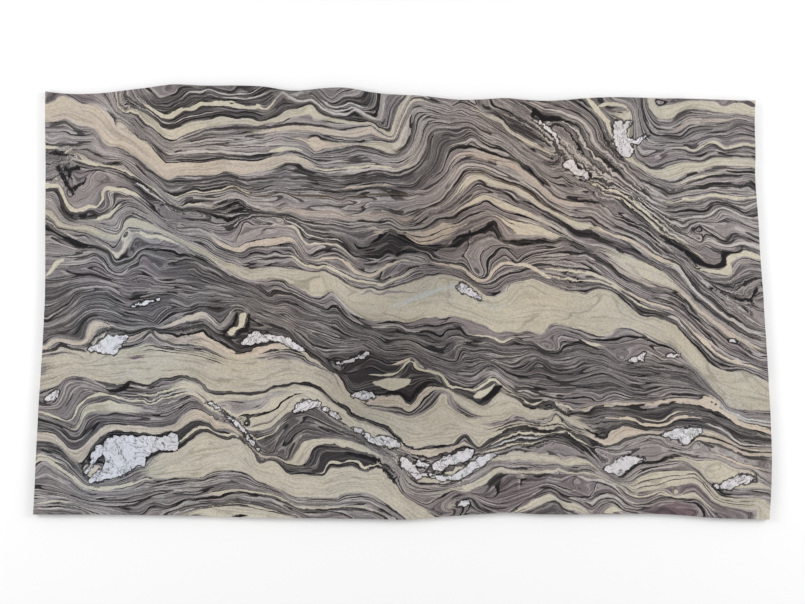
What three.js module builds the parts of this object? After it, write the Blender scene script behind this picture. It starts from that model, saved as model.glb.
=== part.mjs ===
// A raw quartzite slab: one gang-sawn, face-polished sheet of banded stone, as it leaves the block.
//
// It is a single piece of rock, so it is a single solid. It lies flat on its sawn back with the
// polished face up. The two broad faces are flat and parallel. The outline is not a rectangle: it
// is the ragged outside of the quarry block that the slab was cut from, so all four edges wander,
// and the slab is a little longer along its lower edge than along its upper one.
//
// Frame: millimetres, +X along the long way, +Y up the face, +Z out of the polished face. The
// origin is the middle of the slab's box, on the sawn back.
import * as THREE from "three";

// Driving dimensions.
const LENGTH = 3050; // along X, over the longest part of the outline
const WIDTH = 1800; // along Y, over the highest and lowest points of the outline
const THICKNESS = 30; // the usual 3 cm slab
const CM = 10; // the outline is stated in centimetres from the box's lower left corner
const STEPS_PER_POINT = 2; // straight facets from one outline point to the next

// The four edges, in order round the slab, each from one corner to the next. They are stated in
// centimetres from the lower left corner of the slab's box, because a slab is measured with a tape
// from that corner.
const LOWER_EDGE = [
  [0, 2.2], [30, 2.1], [60, 1.8], [80, 1.3], [92, 0.8], [120, 0.6], [140, 0.3], [150, 0],
  [158, 0.2], [165, 0.9], [175, 1.7], [187, 2.5], [197, 3.0], [205, 2.5], [215, 2.2],
  [240, 2.4], [256, 2.5], [268, 1.9], [280, 0.8], [291, 0.4], [304, 0.2],
];
const RIGHT_EDGE = [
  [304, 0.2], [304.7, 10], [305, 20], [305, 30], [304.5, 42], [303.8, 56], [303.1, 68],
  [302.2, 80], [301.6, 91], [300.9, 101], [300.1, 111], [299.6, 122], [298.8, 132],
  [298.1, 142], [298.3, 152], [297.9, 164], [298.3, 173.3],
];
const UPPER_EDGE = [
  [298.3, 173.3], [292, 173.3], [282, 173.7], [262, 174.2], [241, 174.6], [231, 174.4],
  [219, 173.4], [211, 173.1], [203, 173.5], [195, 174.3], [187, 173.8], [178, 173.5],
  [169, 174.2], [160, 175.2], [148, 175.8], [139, 176.8], [132, 178.2], [126, 178.7],
  [118, 178.2], [110, 177.3], [104, 177.6], [96, 178.9], [88, 179.4], [72, 179.4],
  [64, 179.7], [58, 180], [53, 179.4], [47, 178.5], [38, 177.4], [29, 176.3], [20, 175.9],
  [12, 176.2], [5, 177],
];
const LEFT_EDGE = [
  [5, 177], [4.9, 165], [5.1, 150], [5, 135], [4.9, 120], [5, 108], [4.8, 92], [4.2, 78],
  [3.4, 64], [2.5, 51], [1.7, 38], [1.1, 25], [0.5, 12], [0, 2.2],
];

// A point of the outline in the part's own frame.
function onSlab([x, y]) {
  return new THREE.Vector2(x * CM - LENGTH / 2, y * CM - WIDTH / 2);
}

// The closed outline: one smooth curve along each edge, with a sharp corner where two edges meet.
function slabOutline() {
  const outline = new THREE.Shape();
  const start = onSlab(LOWER_EDGE[0]);
  outline.moveTo(start.x, start.y);
  for (const edge of [LOWER_EDGE, RIGHT_EDGE, UPPER_EDGE, LEFT_EDGE]) {
    outline.splineThru(edge.slice(1).map(onSlab));
  }
  return outline;
}

// The slab itself: the outline, sawn to an even thickness.
function slab() {
  const geometry = new THREE.ExtrudeGeometry(slabOutline(), {
    depth: THICKNESS,
    bevelEnabled: false,
    curveSegments: STEPS_PER_POINT,
  });
  const stone = new THREE.MeshStandardMaterial({
    name: "banded quartzite",
    color: 0x96908e,
    roughness: 0.25,
    metalness: 0,
  });
  const mesh = new THREE.Mesh(geometry, stone);
  mesh.name = "slab";
  return mesh;
}

const quartziteSlab = new THREE.Group();
quartziteSlab.name = "quartzite_slab";
quartziteSlab.add(slab());

export default quartziteSlab;
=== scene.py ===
# %% [markdown]
# # A polished quartzite slab, banded like a map
#
# The real object is one sheet of stone, 3.05 by 1.80 m and 3 cm thick. A gang saw cut it from a quarry
# block, and one face was polished. The stone was once layers of sand and mud. Heat and pressure turned
# them to quartzite and folded them, so the polished face shows hundreds of beds, some thick and cream,
# some thin and black, that all bend together. White quartz filled the gaps that the folding opened.
#
# There is only one piece to model, and nearly all the work is in its banding. Painting it as one image
# would be the quick way. Here it is built up instead: a few bed lines are laid down, the script
# works out how deep every point of the face lies in the pile of beds, and shader nodes paint each bed
# by that depth. The bands then bend together, as they do in the stone.

# %% Load the frame
import math

import bmesh
import bpy
import numpy as np
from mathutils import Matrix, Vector, noise


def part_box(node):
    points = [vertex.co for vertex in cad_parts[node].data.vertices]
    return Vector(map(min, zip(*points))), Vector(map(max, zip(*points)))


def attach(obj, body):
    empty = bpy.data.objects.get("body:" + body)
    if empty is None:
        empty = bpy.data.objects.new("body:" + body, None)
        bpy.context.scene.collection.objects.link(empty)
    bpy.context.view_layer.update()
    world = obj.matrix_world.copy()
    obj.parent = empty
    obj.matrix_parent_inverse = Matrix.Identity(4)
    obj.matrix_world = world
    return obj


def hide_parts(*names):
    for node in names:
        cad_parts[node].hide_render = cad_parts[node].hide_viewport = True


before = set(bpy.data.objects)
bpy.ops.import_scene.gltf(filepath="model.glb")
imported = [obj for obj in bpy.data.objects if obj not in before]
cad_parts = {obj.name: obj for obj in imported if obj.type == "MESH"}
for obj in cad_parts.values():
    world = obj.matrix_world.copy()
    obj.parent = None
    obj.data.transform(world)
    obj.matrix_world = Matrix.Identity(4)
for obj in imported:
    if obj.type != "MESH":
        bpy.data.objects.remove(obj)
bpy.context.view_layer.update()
scene = bpy.context.scene

# %% [markdown]
# ## Camera and framing
#
# A slab is recorded lying flat, with the camera looking straight down at the middle of the polished
# face. A long lens from far above keeps the outline square. A short lens close by would show the sides.

# %% Camera
CM = 0.01  # metres in a centimetre
LENS = 85.0  # millimetres
SENSOR = 36.0  # millimetres
VIEW_WIDTH = 3.322  # metres across the picture, at the polished face

slab_low, slab_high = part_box("slab")
face_height = slab_high.z
camera_data = bpy.data.cameras.new("camera")
camera_data.lens = LENS
camera_data.sensor_width = SENSOR
camera_data.clip_end = 50.0
camera = bpy.data.objects.new("camera", camera_data)
scene.collection.objects.link(camera)
camera.location = (0.0, 0.0, face_height + VIEW_WIDTH * LENS / SENSOR)
scene.camera = camera
print("camera", round(camera.location.z, 3), "m above the floor")

# %% [markdown]
# ## The outline
#
# The sides of a raw slab are the ragged outside of the quarry block. The CAD piece already has that
# outline, so the script reads it from there. Its mesh is loose triangles, so a copy is merged first, and
# then the rim of its top face is walked round in order.

# %% Read the outline from the CAD piece


def rim_of_top(node):
    """The points of a CAD node's top rim, in metres, in order round the piece."""
    shape = bmesh.new()
    shape.from_mesh(node.data)
    bmesh.ops.remove_doubles(shape, verts=shape.verts, dist=1e-5)
    top = max(v.co.z for v in shape.verts) - 1e-5
    following = {}
    for edge in shape.edges:
        ends = edge.verts
        level = min(ends[0].co.z, ends[1].co.z) > top
        upright = [face for face in edge.link_faces if abs(face.normal.z) < 0.5]
        if level and len(upright) == 1:
            for here, there in (ends, reversed(ends)):
                following.setdefault(here, []).append(there)
    start = next(iter(following))
    walk = [start]
    before, here = None, start
    while True:
        step = [v for v in following[here] if v is not before][0]
        if step is start:
            break
        walk.append(step)
        before, here = here, step
    points = np.array([v.co[:2] for v in walk])
    shape.free()
    return points


rim = rim_of_top(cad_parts["slab"])
area = 0.5 * np.sum(rim[:, 0] * np.roll(rim[:, 1], -1) - rim[:, 1] * np.roll(rim[:, 0], -1))
if area < 0:
    rim = rim[::-1]
print("outline", len(rim), "points, area", round(abs(float(area)), 3), "square metres")

# %% Split the outline into four edges
# Each corner is the rim point that lies furthest out along one diagonal.


def corner(east, north):
    """The number of the rim point that lies furthest out in a direction."""
    return int(np.argmax(rim @ np.array([east, north])))


def run(first, last):
    """The rim points from one corner to the next, going round anticlockwise."""
    count = (last - first) % len(rim)
    return rim[[(first + k) % len(rim) for k in range(count + 1)]]


lower_left, lower_right = corner(-1, -1), corner(1, -1)
upper_right, upper_left = corner(1, 1), corner(-1, 1)
lower_edge = run(lower_left, lower_right)
right_edge = run(lower_right, upper_right)
upper_edge = run(upper_right, upper_left)[::-1]
left_edge = run(upper_left, lower_left)[::-1]
print("points on each edge", [len(e) for e in (lower_edge, right_edge, upper_edge, left_edge)])

# %% [markdown]
# ## The mesh of the slab
#
# The face is modelled as a fine grid, because the depth of the beds is stored at its points. A grid made
# by the create_grid operator is square, so each point is moved to its place between the four edges. This
# is a Coons patch: a blend of the two long edges and the two short ones, less the blend of the corners.
#
# The sides are pulled down from the rim of the grid with extrude, one row at a time. The back is a
# second, coarser grid, and bridge_loops joins the two rims.

# %% Grids stretched to the outline
FACE_COLUMNS, FACE_ROWS = 352, 206
BACK_COLUMNS, BACK_ROWS = 176, 103


def along(edge, share):
    """The point a given share of the way along an edge, for an array of shares."""
    steps = np.hypot(*np.diff(edge, axis=0).T)
    reach = np.concatenate([[0.0], np.cumsum(steps)])
    reach /= reach[-1]
    return np.stack([np.interp(share, reach, edge[:, k]) for k in (0, 1)], axis=-1)


def coons(u, v):
    """Where the point (u, v) of a unit square lands inside the outline."""
    u1, v1 = u[:, None], v[:, None]
    rows = (1 - v1) * along(lower_edge, u) + v1 * along(upper_edge, u)
    columns = (1 - u1) * along(left_edge, v) + u1 * along(right_edge, v)
    corners = (
        (1 - u1) * (1 - v1) * lower_edge[0]
        + u1 * (1 - v1) * lower_edge[-1]
        + (1 - u1) * v1 * upper_edge[0]
        + u1 * v1 * upper_edge[-1]
    )
    return rows + columns - corners


def stretched_grid(shape, columns, rows, height):
    """Adds a grid to a bmesh and moves its points inside the outline."""
    made = bmesh.ops.create_grid(shape, x_segments=columns, y_segments=rows, size=1.0)
    verts = made["verts"]
    square = np.array([v.co[:2] for v in verts])
    place = coons((square[:, 0] + 1) / 2, (square[:, 1] + 1) / 2)
    for vert, (x, y) in zip(verts, place):
        vert.co = (x, y, height)
    return verts


def open_rim(verts):
    """The edges round the outside of a grid."""
    rim_edges = set()
    for vert in verts:
        rim_edges.update(edge for edge in vert.link_edges if edge.is_boundary)
    return list(rim_edges)


slab_mesh = bmesh.new()
face_verts = stretched_grid(slab_mesh, FACE_COLUMNS, FACE_ROWS, face_height)
face_rim = open_rim(face_verts)
back_verts = stretched_grid(slab_mesh, BACK_COLUMNS, BACK_ROWS, slab_low.z)
back_rim = open_rim(back_verts)
for back_face in {f for v in back_verts for f in v.link_faces}:
    back_face.normal_flip()
print("face", len(face_verts), "points; back", len(back_verts), "points")

# %% [markdown]
# ## Broken sides
#
# Nobody saws the outside of a raw slab. It is split rock, so each side is rough, hollowed by a few
# millimetres, and its upper arris is chipped where the polishing heads ran off it. Every point of the
# side is pushed inwards, never outwards, by layered noise, so the slab stays inside its CAD box.

# %% Extrude and roughen the sides
SIDE_LEVELS = [0.0285, 0.024, 0.0175, 0.011, 0.0045, 0.0]  # metres above the back
ROUGH_DEPTH = 0.0042  # metres, the deepest hollow
CHIP_DEPTH = 0.0018  # metres, the deepest chip in the arris


def inward(vert_xy):
    """A unit step from the outline towards the inside, at each rim point."""
    middle = rim.mean(axis=0)
    gap = np.linalg.norm(vert_xy[:, None] - rim[None], axis=2)
    near = gap.argmin(axis=1)
    tangent = rim[(near + 1) % len(rim)] - rim[near - 1]
    normal = np.stack([-tangent[:, 1], tangent[:, 0]], axis=1)
    normal /= np.linalg.norm(normal, axis=1)[:, None]
    towards = ((middle - vert_xy) * normal).sum(axis=1) < 0
    normal[towards] *= -1
    return normal


def roughness_at(x, y, z):
    """Layered noise between 0 and 1: broad hollows, with finer breaks on them."""
    broad = noise.noise(Vector((x * 7, y * 7, z * 25)))
    middling = noise.noise(Vector((x * 31, y * 31, z * 70)))
    fine = noise.noise(Vector((x * 95, y * 95, z * 160)))
    return min(1.0, max(0.0, 0.5 + 0.45 * broad + 0.3 * middling + 0.15 * fine))


ring = face_rim
side_faces = []
for level in SIDE_LEVELS:
    pulled = bmesh.ops.extrude_edge_only(slab_mesh, edges=ring)["geom"]
    ring_verts = {g for g in pulled if isinstance(g, bmesh.types.BMVert)}
    for vert in ring_verts:
        vert.co.z = level
    side_faces += [g for g in pulled if isinstance(g, bmesh.types.BMFace)]
    ring = [
        g for g in pulled if isinstance(g, bmesh.types.BMEdge) and ring_verts.issuperset(g.verts)
    ]
slab_mesh.verts.index_update()
side_verts = sorted({v for f in side_faces for v in f.verts}, key=lambda v: v.index)
spots = np.array([v.co[:2] for v in side_verts])
for vert, step in zip(side_verts, inward(spots)):
    x, y, z = vert.co
    deepest = CHIP_DEPTH if z > SIDE_LEVELS[0] else ROUGH_DEPTH
    depth = deepest * roughness_at(x, y, z)
    vert.co = (x + step[0] * depth, y + step[1] * depth, z)
print("side rows", len(SIDE_LEVELS), "faces", len(side_faces))

# %% Close the slab with its back


def put_in_order(elements, place):
    """Numbers points, edges or faces by where they are, so that each run numbers them alike."""
    for number, element in enumerate(sorted(elements, key=place)):
        element.index = number
    elements.sort()


BACK_INSET = 0.007  # metres, the back's rim inside the outline
SIDE_FINISH, BACK_FINISH = 1, 2  # places in the list of materials, after the polished face's 0

for vert in back_verts:
    vert.co.x *= 1 - BACK_INSET / slab_high.x
    vert.co.y *= 1 - BACK_INSET / slab_high.y
bridge = bmesh.ops.bridge_loops(slab_mesh, edges=ring + back_rim)["faces"]
for bridging_face in bridge:
    bridging_face.material_index = BACK_FINISH
    if bridging_face.normal.z > 0:
        bridging_face.normal_flip()
for side_face in side_faces:
    side_face.material_index = SIDE_FINISH
    side_face.smooth = True
for back_face in {f for v in back_verts for f in v.link_faces}:
    back_face.material_index = BACK_FINISH
bmesh.ops.recalc_face_normals(slab_mesh, faces=slab_mesh.faces)
# extrude makes its faces in an order that changes from run to run
put_in_order(slab_mesh.verts, lambda vert: vert.co[:])
for pieces in (slab_mesh.edges, slab_mesh.faces):
    put_in_order(pieces, lambda piece: sorted(v.index for v in piece.verts))
open_edges = [e for e in slab_mesh.edges if not e.is_manifold]
triangles = sum(len(f.verts) - 2 for f in slab_mesh.faces)
print("bridge", len(bridge), "open edges", len(open_edges), "triangles", triangles)
print("volume", round(slab_mesh.calc_volume(signed=True) * 1000, 2), "litres")

slab_data = bpy.data.meshes.new("quartzite_slab")
slab_mesh.to_mesh(slab_data)
slab_mesh.free()
slab = bpy.data.objects.new("quartzite_slab", slab_data)
scene.collection.objects.link(slab)
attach(slab, "root")
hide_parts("slab")

# %% [markdown]
# ## Bed lines
#
# A geologist maps a rock face by walking along the beds that can be followed, and giving each one its
# place in the pile. The same is done here. Each entry is a depth and the points that the bed runs
# through. Points are in centimetres from the lower left corner of the slab's box, because a slab is
# measured with a tape from that corner. The depth is how far under the top edge the bed lies, in
# centimetres, 90 cm from the slab's left side. It is the same along a whole bed, wherever the folds
# carry it.

# %% Bed lines of the main part of the slab


def bed_lines(text):
    """Reads lines such as "44.6: 50 139.4, 53 137.1" into a depth and its points."""
    result = []
    for entry in text.replace("\n ", " ").strip().splitlines():
        depth, places = entry.split(":")
        points = [tuple(float(v) for v in place.split()) for place in places.split(",")]
        result.append((float(depth), points))
    return result


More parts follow.
